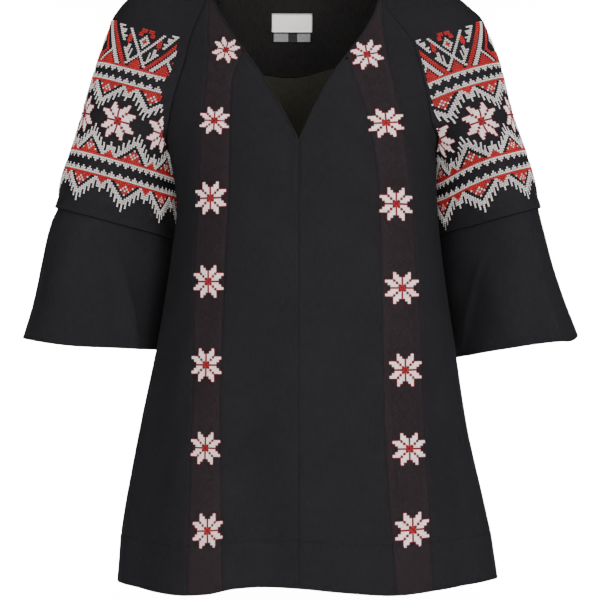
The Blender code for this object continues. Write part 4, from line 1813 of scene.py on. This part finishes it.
@dataclass
class BodyPanels:
    """The front's six pieces and the back, with their seams, the hem and what shows inside."""

    form: BodyForm
    step: float = 0.0032
    fine_step: float = 0.0007
    facing_end: float = -0.1255
    facing_inset: float = 0.0012
    facing_rows: int = 38
    edge_inset: float = 0.00005
    edge_crowding: float = 0.12
    back_columns: int = 124
    turning_half: float = 0.008
    turning_wall: float = 0.0006
    turning_gap: float = 0.0011

    def levels(self, top: float) -> np.ndarray:
        """Heights of the rows from a top edge down to the hem, closer together at the hem's stitch line.

        Args:
            top: Height of the top edge.

        Returns:
            Heights from the top down.
        """
        rows = np.linspace(top, HEM_Z, int((top - HEM_Z) / self.step) + 1)
        stitched = HEM_Z + HEM_DEPTH
        fine = stitched + np.arange(-2, 3) * self.fine_step
        return np.sort(np.concatenate([rows[np.abs(rows - stitched) > 0.0022], fine]))[::-1]

    def shares(self, columns: int) -> np.ndarray:
        """Places across a panel, closer together at its edges."""
        u = np.linspace(0.0, 1.0, columns + 1)
        return u - self.edge_crowding * np.sin(2.0 * math.pi * u)

    def hem_lift(self, z: np.ndarray) -> np.ndarray:
        """Height of the cloth at the hem's stitch line and over its turning."""
        above = z - HEM_Z - HEM_DEPTH
        return -0.0006 * bell(above, 0.0009) + 0.0004 * ease(-above / 0.002)

    def stitched_ridge(self, distance: np.ndarray, z: np.ndarray) -> np.ndarray:
        """Height of the ridge that is stitched beside the middle seam just under the neck's slit."""
        run = ease((z + 0.284) / 0.010) * ease((V_BOTTOM_Z + 0.002 - z) / 0.004)
        return (0.0011 * bell(distance - 0.0042, 0.0022) - 0.0004 * bell(distance - 0.0100, 0.0024)) * run

    def panel(self, name: str, z: np.ndarray, left: np.ndarray, right: np.ndarray) -> ClothPiece:
        """A panel between two seams.

        Args:
            name: Name of the piece.
            z: Heights of its rows, from the top down.
            left: Degrees of its left edge at each row.
            right: Degrees of its right edge.

        Returns:
            The piece of cloth.
        """
        left = self.form.inset(z, left, self.edge_inset)
        right = self.form.inset(z, right, -self.edge_inset)
        width = np.linalg.norm(self.form.base(z, right) - self.form.base(z, left), axis=-1)
        share = self.shares(max(8, int(width.max() / self.step)))[None, :]
        degrees = left[:, None] + (right - left)[:, None] * share
        height = np.broadcast_to(z[:, None], degrees.shape)
        from_left, from_right = width[:, None] * share, width[:, None] * (1.0 - share)
        relief = body_relief(height, degrees) + self.hem_lift(height)
        relief = relief + SEAM.lift(from_left, height) + SEAM.lift(from_right, height)
        if name.startswith("center"):
            relief = relief + self.stitched_ridge(from_right if name.endswith("left") else from_left, height)
        return ClothPiece(name, self.form.point(height, degrees, relief))

    def front(self) -> list[tuple[ClothPiece, WovenCloth, str, str]]:
        """The front's pieces, each with its finish, slot and CAD node.

        Returns:
            Three pieces for each side.
        """
        form, made = self.form, []
        for side in Side:
            word = side.word
            inner, outer = form.strip_edge("inner_" + word), form.strip_edge("outer_" + word)
            neck, nearer = form.neck_edge(side), np.minimum if side is Side.LEFT else np.maximum
            low, z = self.levels(CENTER_TOP_Z[side.value]), self.levels(NECK_FRONT_Z)
            strip_inner = nearer(inner(z), neck(z))
            raglan = form.raglan(z, side, True)
            for name, node, rows, edges, finish, slot in (
                ("center_panel", "front_center", low, (inner(low), neck(low)), BLACK_CLOTH, "black_cloth"),
                ("strip_panel", "front_strip", z, (outer(z), strip_inner), STRIP_CLOTH, "woven_strip"),
                ("side_panel", "side_front", z, (raglan, outer(z)), BLACK_CLOTH, "black_cloth"),
            ):
                cloth = self.panel(f"{name}_{word}", rows, *edges[::-side.value])
                made.append((cloth, finish, slot, f"{node}_{word}"))
        return made

    def back_grid(self, z: np.ndarray, lift: float, inset: float, seams: bool) -> np.ndarray:
        """Points over the back from its right-hand seam to its left-hand seam, with the neck edge dipping.

        Args:
            z: Heights of the rows, or of each row's points.
            lift: How far over the form they lie.
            inset: How far they stop short of the seams.
            seams: Whether the cloth turns down into seams at both edges.

        Returns:
            The points.
        """
        share = self.shares(self.back_columns)[None, :]
        z = z.reshape(len(z), -1)
        middle = ease(1.0 - np.abs(2.0 * share - 1.0))
        height = z - NECK_BACK_DROP * middle * ease(1.0 - (NECK_BACK_Z - z) / NECK_DIP_HEIGHT)
        right = self.form.inset(height, self.form.raglan(height, Side.RIGHT, False), inset)
        left = 360.0 + self.form.inset(height, self.form.raglan(height, Side.LEFT, False), -inset)
        degrees = right + (left - right) * share
        relief = body_relief(height, degrees) + self.hem_lift(height) + lift
        if seams:
            steps = np.diff(self.form.base(height, degrees), axis=1)
            width = np.linalg.norm(steps, axis=-1).sum(axis=1)[:, None]
            relief = relief + SEAM.lift(width * share, height) + SEAM.lift(width * (1.0 - share), height)
        return self.form.point(height, degrees, relief)

    def back(self) -> ClothPiece:
        """The back, in one piece."""
        return ClothPiece("back_panel", self.back_grid(self.levels(NECK_BACK_Z), 0.0, self.edge_inset, True))

    def facing(self) -> ClothPiece:
        """The facing of the back's neck, on its inner side, with a lower edge that steps up in its middle.

        Returns:
            The piece of cloth.
        """
        share = self.shares(self.back_columns)
        end = self.facing_end + 0.0120 * ease((0.53 - share) / 0.20) + 0.0030 * ease((share - 0.56) / 0.10)
        down = np.linspace(0.0, 1.0, self.facing_rows)[:, None]
        z = NECK_BACK_Z + (end - NECK_BACK_Z)[None, :] * down
        grid = self.back_grid(z, -(WALL + SEAM_GAP), self.facing_inset, False)
        return ClothPiece("neck_facing", grid, FACING_WALL)

    def label(self, label: Label) -> ClothPiece:
        """A woven label as cloth.

        Args:
            label: Its sizes and place.

        Returns:
            The piece of cloth.
        """
        z = np.linspace(label.top, label.top - label.height, 12)[:, None]
        depth = WIDTHS.value("back", z)
        x = label.middle + label.width * (0.5 - np.linspace(0.0, 1.0, 30))[None, :]
        degrees = 180.0 - np.degrees(x / depth) * depth / self.form.half_width(z, True)
        z = np.broadcast_to(z, degrees.shape)
        grid = self.form.point(z, degrees, label.lift + body_relief(z, degrees))
        return ClothPiece(label.name, grid, LABEL_WALL)

    def turning(self, name: str, top: float, seam: Callable[[np.ndarray], np.ndarray]) -> ClothPiece:
        """The turnings of a seam from a height down, pressed open on the inner side.

        Args:
            name: The seam's name.
            top: The height.
            seam: Degrees of the seam at heights.

        Returns:
            The piece of cloth.
        """
        z = self.levels(top)
        left, right = (self.form.inset(z, seam(z), half) for half in (-self.turning_half, self.turning_half))
        degrees = left[:, None] + (right - left)[:, None] * np.linspace(0.0, 1.0, 7)[None, :]
        height = np.broadcast_to(z[:, None], degrees.shape)
        relief = body_relief(height, degrees) - (WALL + self.turning_gap)
        return ClothPiece(f"turning_{name}", self.form.point(height, degrees, relief), self.turning_wall)

    def turnings(self) -> list[ClothPiece]:
        """The turnings of all the body's seams.

        Returns:
            The pieces of cloth.
        """
        form = self.form
        made = [self.turning("middle", V_BOTTOM_Z - 0.006, form.neck_edge(Side.LEFT))]
        for side in Side:
            word, edge = side.word, 90.0 * side.value
            for name, top, seam in (
                ("strip_inner", CENTER_TOP_Z[side.value] - 0.016, form.strip_edge("inner_" + word)),
                ("strip_outer", -0.062, form.strip_edge("outer_" + word)),
                ("side", ARMPIT_Z - 0.004, lambda z, edge=edge: np.full(len(z), edge)),
            ):
                made.append(self.turning(f"{name}_{word}", top, seam))
        return made


@dataclass
class SleevePair:
    """One side's upper sleeve with its turned hem, and the flared lower sleeve under it.

    The hems are metres of cloth, and the row lengths are metres of cloth to a row near each of them.
    """

    form: SleeveForm
    lip_hem: float = 0.0125
    lip_row_length: float = 0.098
    cuff_hem: float = 0.030
    cuff_row_length: float = 0.155

    def places(self) -> np.ndarray:
        """Places round the sleeve, closer together at the seam."""
        u = np.linspace(-1.0, 1.0, 141)
        return u + 0.09 * np.sin(math.pi * u)

    def seam_dip(self, grid: np.ndarray) -> np.ndarray:
        """Height of the cloth beside the seam at both ends of each row."""
        from_start = running(np.linalg.norm(np.diff(grid, axis=1), axis=-1))
        return SEAM.lift(from_start, grid[..., 2]) + SEAM.lift(from_start[:, -1:] - from_start, grid[..., 2])

    def piece(self, name: str, rows: np.ndarray, lift: np.ndarray) -> ClothPiece:
        """A sleeve piece as cloth.

        Args:
            name: Name of the piece without its side.
            rows: Rows of the sleeve, from the top down.
            lift: Lift of each row.

        Returns:
            The piece of cloth.
        """
        places = self.places()
        height = lift[:, None] + sleeve_relief(self.form, rows, places)
        dip = self.seam_dip(self.form.surface(rows, places, height))
        if self.form.side is Side.LEFT:
            dip = dip[:, ::-1]
        grid = self.form.surface(rows, places, height + dip)
        closed = int(np.argmax(rows >= ARMPIT_ROW))
        grid[closed:, -1] = grid[closed:, 0]
        return ClothPiece(f"{name}_{self.form.side.word}", grid, WALL, closed)

    def upper(self) -> ClothPiece:
        """The upper sleeve, which ends in a turned hem.

        Returns:
            The piece of cloth.
        """
        rows = np.concatenate(
            [np.linspace(0.0, 1.0, 84)[:-1], np.linspace(1.0, 1.97, 46), [1.982, 1.992, 2.0]]
        )
        away = (LIP_ROW - rows) * self.lip_row_length - self.lip_hem
        turning = -0.00045 * bell(away, 0.0012) + 0.0004 * ease(-away / 0.002)
        return self.piece("upper_sleeve", rows, self.form.lip_lift(rows) + turning)

    def lower(self) -> ClothPiece:
        """The flared lower sleeve.

        Returns:
            The piece of cloth.
        """
        rows = np.concatenate([[CUFF_TOP_ROW], np.linspace(1.95, 3.0, 62)])
        away = (CUFF_ROW - rows) * self.cuff_row_length - self.cuff_hem
        return self.piece("lower_sleeve", rows, self.form.cuff_lift(rows) - 0.0003 * bell(away, 0.0014))


def build_sleeve_embroidery(net: SleeveNet) -> list[bpy.types.Object]:
    """Builds the stitches of one upper sleeve, one piece for each colour of thread.

    Args:
        net: The net that they are counted on.

    Returns:
        The new objects.
    """
    frieze, bands, star, form = FriezeChart(), BandChart(), StarChart(), net.form
    sets = [
        net.cells(lambda k, row: frieze.stitch(k, bands.first_line - row), range(0, bands.first_line), True),
        net.cells(bands.stitch, range(bands.first_line, bands.last_row + 1), False),
    ]
    made = []
    for dye in Dye:
        threads = [PLAIN_CROSS.lay(s[dye], outward(s[dye], form)) for s in sets if dye in s]
        threads += star.stitches(dye, lambda places: net.star_corners(places, bands), form)
        piece = add_threads(f"stitches_{dye.name.lower()}_{form.side.word}", threads, dye.value)
        made.append(dress(piece, "embroidered_cloth"))
    return made


@dataclass
class StripEmbroidery:
    """Stars and tone-on-tone lozenges of one ornament strip."""

    form: BodyForm
    side: Side
    pitch: float = 0.0016
    top: float = -0.062
    hem_gap: float = 0.003
    edge_gap: float = 0.0022
    neck_gap: float = 0.004
    star_half: float = 0.0205
    star_reach: float = 0.0320
    lozenge_rows: int = 12

    def surface(self, x: np.ndarray, z: np.ndarray) -> np.ndarray:
        """Points of the cloth at distances across and heights."""
        degrees = self.form.degrees_of(z, x)
        return self.form.point(z, degrees, body_relief(z, degrees))

    def star_corners(self, places: Sequence[tuple[int, int]], star: tuple[float, ...]) -> np.ndarray:
        """Corners of stitches of one star.

        Args:
            places: Places of the stitches, across and down from the star's middle.
            star: The star's row in its table.

        Returns:
            Four corners of each stitch.
        """
        z, x, pitch_across, pitch_down, degrees = star
        lean = math.radians(degrees)
        corner = np.array([(-0.5, -0.5), (0.5, -0.5), (0.5, 0.5), (-0.5, 0.5)])
        place = np.array(places, float)
        across = (place[:, None, 0] + corner[:, 0]) * pitch_across
        drop = (place[:, None, 1] + corner[:, 1]) * pitch_down
        right = across * math.cos(lean) - drop * math.sin(lean)
        down = across * math.sin(lean) + drop * math.cos(lean)
        return self.surface(x + right, z - down)

    def edges(self, z: float) -> tuple[float, float]:
        """Distances across of the strip's left and right edges at a height, clear of the neck's edge.

        Args:
            z: The height.

        Returns:
            The left and the right edge.
        """
        at, word = np.array(z), self.side.word
        left, right = sorted(float(STRIP.value(f"{edge}_{word}", at)) for edge in ("outer", "inner"))
        if z > V_BOTTOM_Z:
            neck = float(NECK.value(word, at))
            if self.side is Side.LEFT:
                right = min(right, neck - self.neck_gap)
            else:
                left = max(left, neck + self.neck_gap)
        return left, right

    def near_star(self, x: float, z: float) -> bool:
        """Whether a place is so near a star that the ground stays bare there."""
        gaps = ((abs(x - star[1]), abs(z - star[0])) for star in STARS[self.side])
        return any(max(gap) < self.star_half and sum(gap) < self.star_reach for gap in gaps)

    def ground_cells(self) -> tuple[np.ndarray, np.ndarray]:
        """Corners and leans of the tone-on-tone stitches between the stars.

        Returns:
            Four corners of each stitch, and whether it leans to the right.
        """
        corners, leans = [], []
        for j in range(int((self.top - (HEM_Z + self.hem_gap)) / self.pitch)):
            z = self.top - j * self.pitch
            left, right = self.edges(z)
            middle, half = 0.5 * (left + right), 0.5 * (right - left) - self.edge_gap
            count = int(half / self.pitch)
            for i in range(-count, count):
                x = middle + (i + 0.5) * self.pitch
                u, v = abs(i + 0.5), j % self.lozenge_rows
                drawn = u > 8.0 or abs(u - 4.5) + abs(v - 6) in (5.0, 4.0, 1.0, 0.0)
                if not drawn or self.near_star(x, z):
                    continue
                a = self.pitch * 0.5
                xs = np.array([x - a, x + a, x + a, x - a])
                zs = np.array([z, z, z - self.pitch, z - self.pitch])
                corners.append(self.surface(xs, zs))
                leans.append((i >= 0) == (v < 6))
        return np.array(corners), np.array(leans)

    def build(self) -> list[bpy.types.Object]:
        """Builds the stars by colour, and the ground's threads.

        Returns:
            The new objects.
        """
        chart, word, made = StarChart(), self.side.word, []
        for dye in Dye:
            threads = []
            for star in STARS[self.side]:
                threads += chart.stitches(dye, lambda places: self.star_corners(places, star))
            if threads:
                piece = add_threads(f"star_stitches_{dye.name.lower()}_{word}", threads, dye.value)
                made.append(dress(piece, "woven_strip"))
        corners, leans = self.ground_cells()
        ground = SlantStitch().lay(corners, outward(corners), leans)
        made.append(dress(add_threads(f"strip_ground_{word}", [ground], MAROON_THREAD), "woven_strip"))
        return made


@dataclass
class NeckFinish:
    """The rolled edge all round the neckline."""

    form: BodyForm
    sleeves: dict[Side, SleeveForm]
    radius: float = 0.0014
    sides: int = 10
    sunk: float = WALL * 0.4
    heart: tuple[float, float, float] = (0.0, 0.02, -0.03)

    def path(self) -> np.ndarray:
        """Points round the neckline, from the bottom of the V up its left edge and all the way round.

        Returns:
            The points in order.
        """
        z = np.linspace(V_BOTTOM_Z - 0.001, NECK_FRONT_Z, 90)
        places = np.linspace(-1.0, 1.0, 44)[1:-1]
        top = np.zeros(len(places))
        share = np.linspace(1.0, 0.0, 60)
        height = NECK_BACK_Z - NECK_BACK_DROP * ease(1.0 - np.abs(2.0 * share - 1.0))
        right = self.form.raglan(height, Side.RIGHT, False)
        left = 360.0 + self.form.raglan(height, Side.LEFT, False)
        return np.concatenate([
            self.edge_line(Side.LEFT, z),
            self.sleeves[Side.LEFT].base(top, places),
            self.form.point(height, right + (left - right) * share, -self.sunk),
            self.sleeves[Side.RIGHT].base(top, places[::-1]),
            self.edge_line(Side.RIGHT, z[::-1]),
        ])

    def edge_line(self, side: Side, z: np.ndarray) -> np.ndarray:
        """Middle of the roll along one edge of the V, inside the cloth's edge so that the gap stays open."""
        degrees = self.form.inset(z, self.form.neck_edge(side)(z), side.value * self.radius * 0.8)
        return self.form.point(z, degrees, -self.sunk)

    def build(self) -> bpy.types.Object:
        """Builds the roll as one tube.

        Returns:
            The new object.
        """
        path = self.path()
        for _ in range(2):
            path[1:-1] = 0.25 * path[:-2] + 0.5 * path[1:-1] + 0.25 * path[2:]
        along = unit(np.roll(path, -1, axis=0) - np.roll(path, 1, axis=0))
        aside = unit(np.cross(along, unit(path - np.array(self.heart))))
        up = unit(np.cross(aside, along))
        turn = np.linspace(0.0, 2.0 * math.pi, self.sides, endpoint=False)
        around = aside[:, None] * np.cos(turn)[None, :, None] + up[:, None] * np.sin(turn)[None, :, None]
        ring = path[:, None] + around * self.radius
        count = len(path)
        index = np.arange(count * self.sides).reshape(count, self.sides)
        after = np.roll(index, -1, axis=0)
        faces = np.stack([index, after, np.roll(after, -1, axis=1), np.roll(index, -1, axis=1)], axis=-1)
        length = np.broadcast_to(np.arange(count)[:, None] * 0.003, (count, self.sides))
        girth = np.broadcast_to(turn[None] * self.radius, (count, self.sides))
        uv = np.stack([girth, length], axis=-1).reshape(-1, 2)
        roll = add_mesh("neck_roll", ring.reshape(-1, 3), faces.reshape(-1, 4).tolist(), BLACK_CLOTH, uv)
        return dress(roll, "black_cloth")


@dataclass(frozen=True)
class SoftLight:
    """One soft square light: where it stands and points in metres, the length of its side and its watts."""

    name: str
    place: tuple[float, float, float]
    target: tuple[float, float, float]
    size: float
    power: float

    def build(self) -> None:
        """Adds the light, unseen by the camera itself."""
        data = bpy.data.lights.new(self.name, "AREA")
        data.size = self.size
        data.energy = self.power
        light = bpy.data.objects.new(self.name, data)
        light.location = self.place
        light.visible_camera = False
        away = unit(np.array(self.place) - np.array(self.target))
        light.rotation_euler = (math.acos(away[2]), 0.0, math.atan2(away[0], -away[1]))
        bpy.context.scene.collection.objects.link(light)


WALL_Y = 4.4
LIGHTS = (
    SoftLight("key_light", (1.7, -2.4, 0.6), (0.0, 0.0, -0.38), 1.1, 84.0),
    SoftLight("fill_light", (-1.5, -2.8, 0.1), (0.0, 0.0, -0.40), 1.6, 38.0),
    SoftLight("front_light", (0.1, -3.4, -0.3), (0.0, 0.0, -0.40), 1.4, 56.0),
    SoftLight("top_light", (0.0, -1.2, 1.8), (0.0, 0.0, -0.20), 1.2, 12.0),
    SoftLight("back_light", (-0.8, 2.6, 1.2), (0.0, 0.0, -0.35), 1.4, 34.0),
    SoftLight("backdrop_light_left", (-1.7, 2.9, -0.1), (-1.0, WALL_Y, -0.5), 1.2, 620.0),
    SoftLight("backdrop_light_right", (1.7, 2.9, -0.1), (1.0, WALL_Y, -0.5), 1.2, 620.0),
)


@dataclass
class Studio:
    """Camera, lights and a pale seamless background."""

    camera_place: tuple[float, float, float] = (0.0, -2.87, -0.400)
    view_half_width: float = 0.342
    view_distance: float = 2.75
    sensor_mm: float = 36.0
    floor_z: float = -1.25
    floor_y: float = -5.0
    wall_top_z: float = 3.2
    half_width: float = 3.4
    bend: float = 0.8
    bend_steps: int = 12
    air_color: str = "#f2f3f5"
    air_strength: float = 0.62

    def camera(self) -> None:
        """Adds the camera at the photograph's viewing angle."""
        data = bpy.data.cameras.new("camera")
        data.sensor_width = self.sensor_mm
        data.lens = self.sensor_mm / 2.0 * self.view_distance / self.view_half_width
        camera = bpy.data.objects.new("camera", data)
        camera.location = self.camera_place
        camera.rotation_euler = (math.radians(90.0), 0.0, 0.0)
        bpy.context.scene.collection.objects.link(camera)
        bpy.context.scene.camera = camera

    def background(self) -> None:
        """Adds the seamless background: a floor that curves up into a wall."""
        start_y = WALL_Y - self.bend
        profile = [(self.floor_y, self.floor_z), (start_y, self.floor_z)]
        for k in range(1, self.bend_steps + 1):
            angle = math.radians(90.0) * k / self.bend_steps
            rise = self.bend * (1.0 - math.cos(angle))
            profile.append((start_y + self.bend * math.sin(angle), self.floor_z + rise))
        profile.append((WALL_Y, self.wall_top_z))
        vertices = np.array([(x, y, z) for y, z in profile for x in (-self.half_width, self.half_width)])
        faces = [(2 * k, 2 * k + 1, 2 * k + 3, 2 * k + 2) for k in range(len(profile) - 1)]
        add_mesh("background_paper", vertices, faces, BACKDROP_PAPER)

    def build(self) -> None:
        """Sets up the studio."""
        self.camera()
        self.background()
        for light in LIGHTS:
            light.build()
        world = bpy.data.worlds.new("studio_air")
        world.use_nodes = True
        air = world.node_tree.nodes["Background"]
        air.inputs["Color"].default_value = linear(self.air_color)
        air.inputs["Strength"].default_value = self.air_strength
        bpy.context.scene.world = world


def build_body(form: BodyForm) -> None:
    """Builds the front with its ornament strips, and the back with its facing, labels and turnings.

    Args:
        form: The body's form.
    """
    panels = BodyPanels(form)
    strips = {side: StripEmbroidery(form, side).build() for side in Side}
    for cloth, finish, slot, node in panels.front():
        side = Side.LEFT if cloth.name.endswith("left") else Side.RIGHT
        stitches = strips[side] if cloth.name.startswith("strip") else ()
        cloth.sew(finish, slot, "neck_roll", node, with_pieces=stitches)
    # The back's inner face takes the painted-light colour: lighter than the cloth to offset the shade inside.
    panels.back().sew(BLACK_CLOTH, "black_cloth", "neck_roll", "back", inner_finish=BACK_INSIDE_PAINTED_LIGHT)
    panels.facing().sew(FACING_CLOTH, "facing_cloth", "back_panel", "back_neck_facing")
    panels.label(WOVEN_LABEL).sew(LABEL_SATIN, "label_white", "neck_facing", "neck_label")
    middle = dress(panels.label(TAB_MIDDLE).build(TAB_BLACK), "label_grey")
    panels.label(SIZE_TAB).sew(TAB_SATIN, "label_grey", "neck_facing", "size_label", with_pieces=(middle,))
    for cloth in panels.turnings():
        cloth.sew(BLACK_CLOTH, "black_cloth", "back_panel")


def build_sleeves(sleeves: dict[Side, SleeveForm]) -> None:
    """Builds both upper sleeves with their embroidery, and the lower ones.

    Args:
        sleeves: Their forms.
    """
    for side, form in sleeves.items():
        pair = SleevePair(form)
        stitches = build_sleeve_embroidery(SleeveNet(form))
        upper = pair.upper().sew(
            BLACK_CLOTH, "embroidered_cloth", "neck_roll", f"sleeve_upper_{side.word}", with_pieces=stitches,
        )
        pair.lower().sew(BLACK_CLOTH, "black_cloth", upper.name, f"sleeve_lower_{side.word}")


def main() -> None:
    """Builds the blouse's looks, one sub-assembly after another, and reports each piece."""
    logging.basicConfig(level=logging.INFO, format="%(name)s: %(message)s")
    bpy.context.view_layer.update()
    form = BodyForm()
    sleeves = {side: SleeveForm(form, side) for side in Side}
    build_body(form)
    build_sleeves(sleeves)
    NeckFinish(form, sleeves).build()
    Studio().build()


if __name__ == "__main__":
    main()
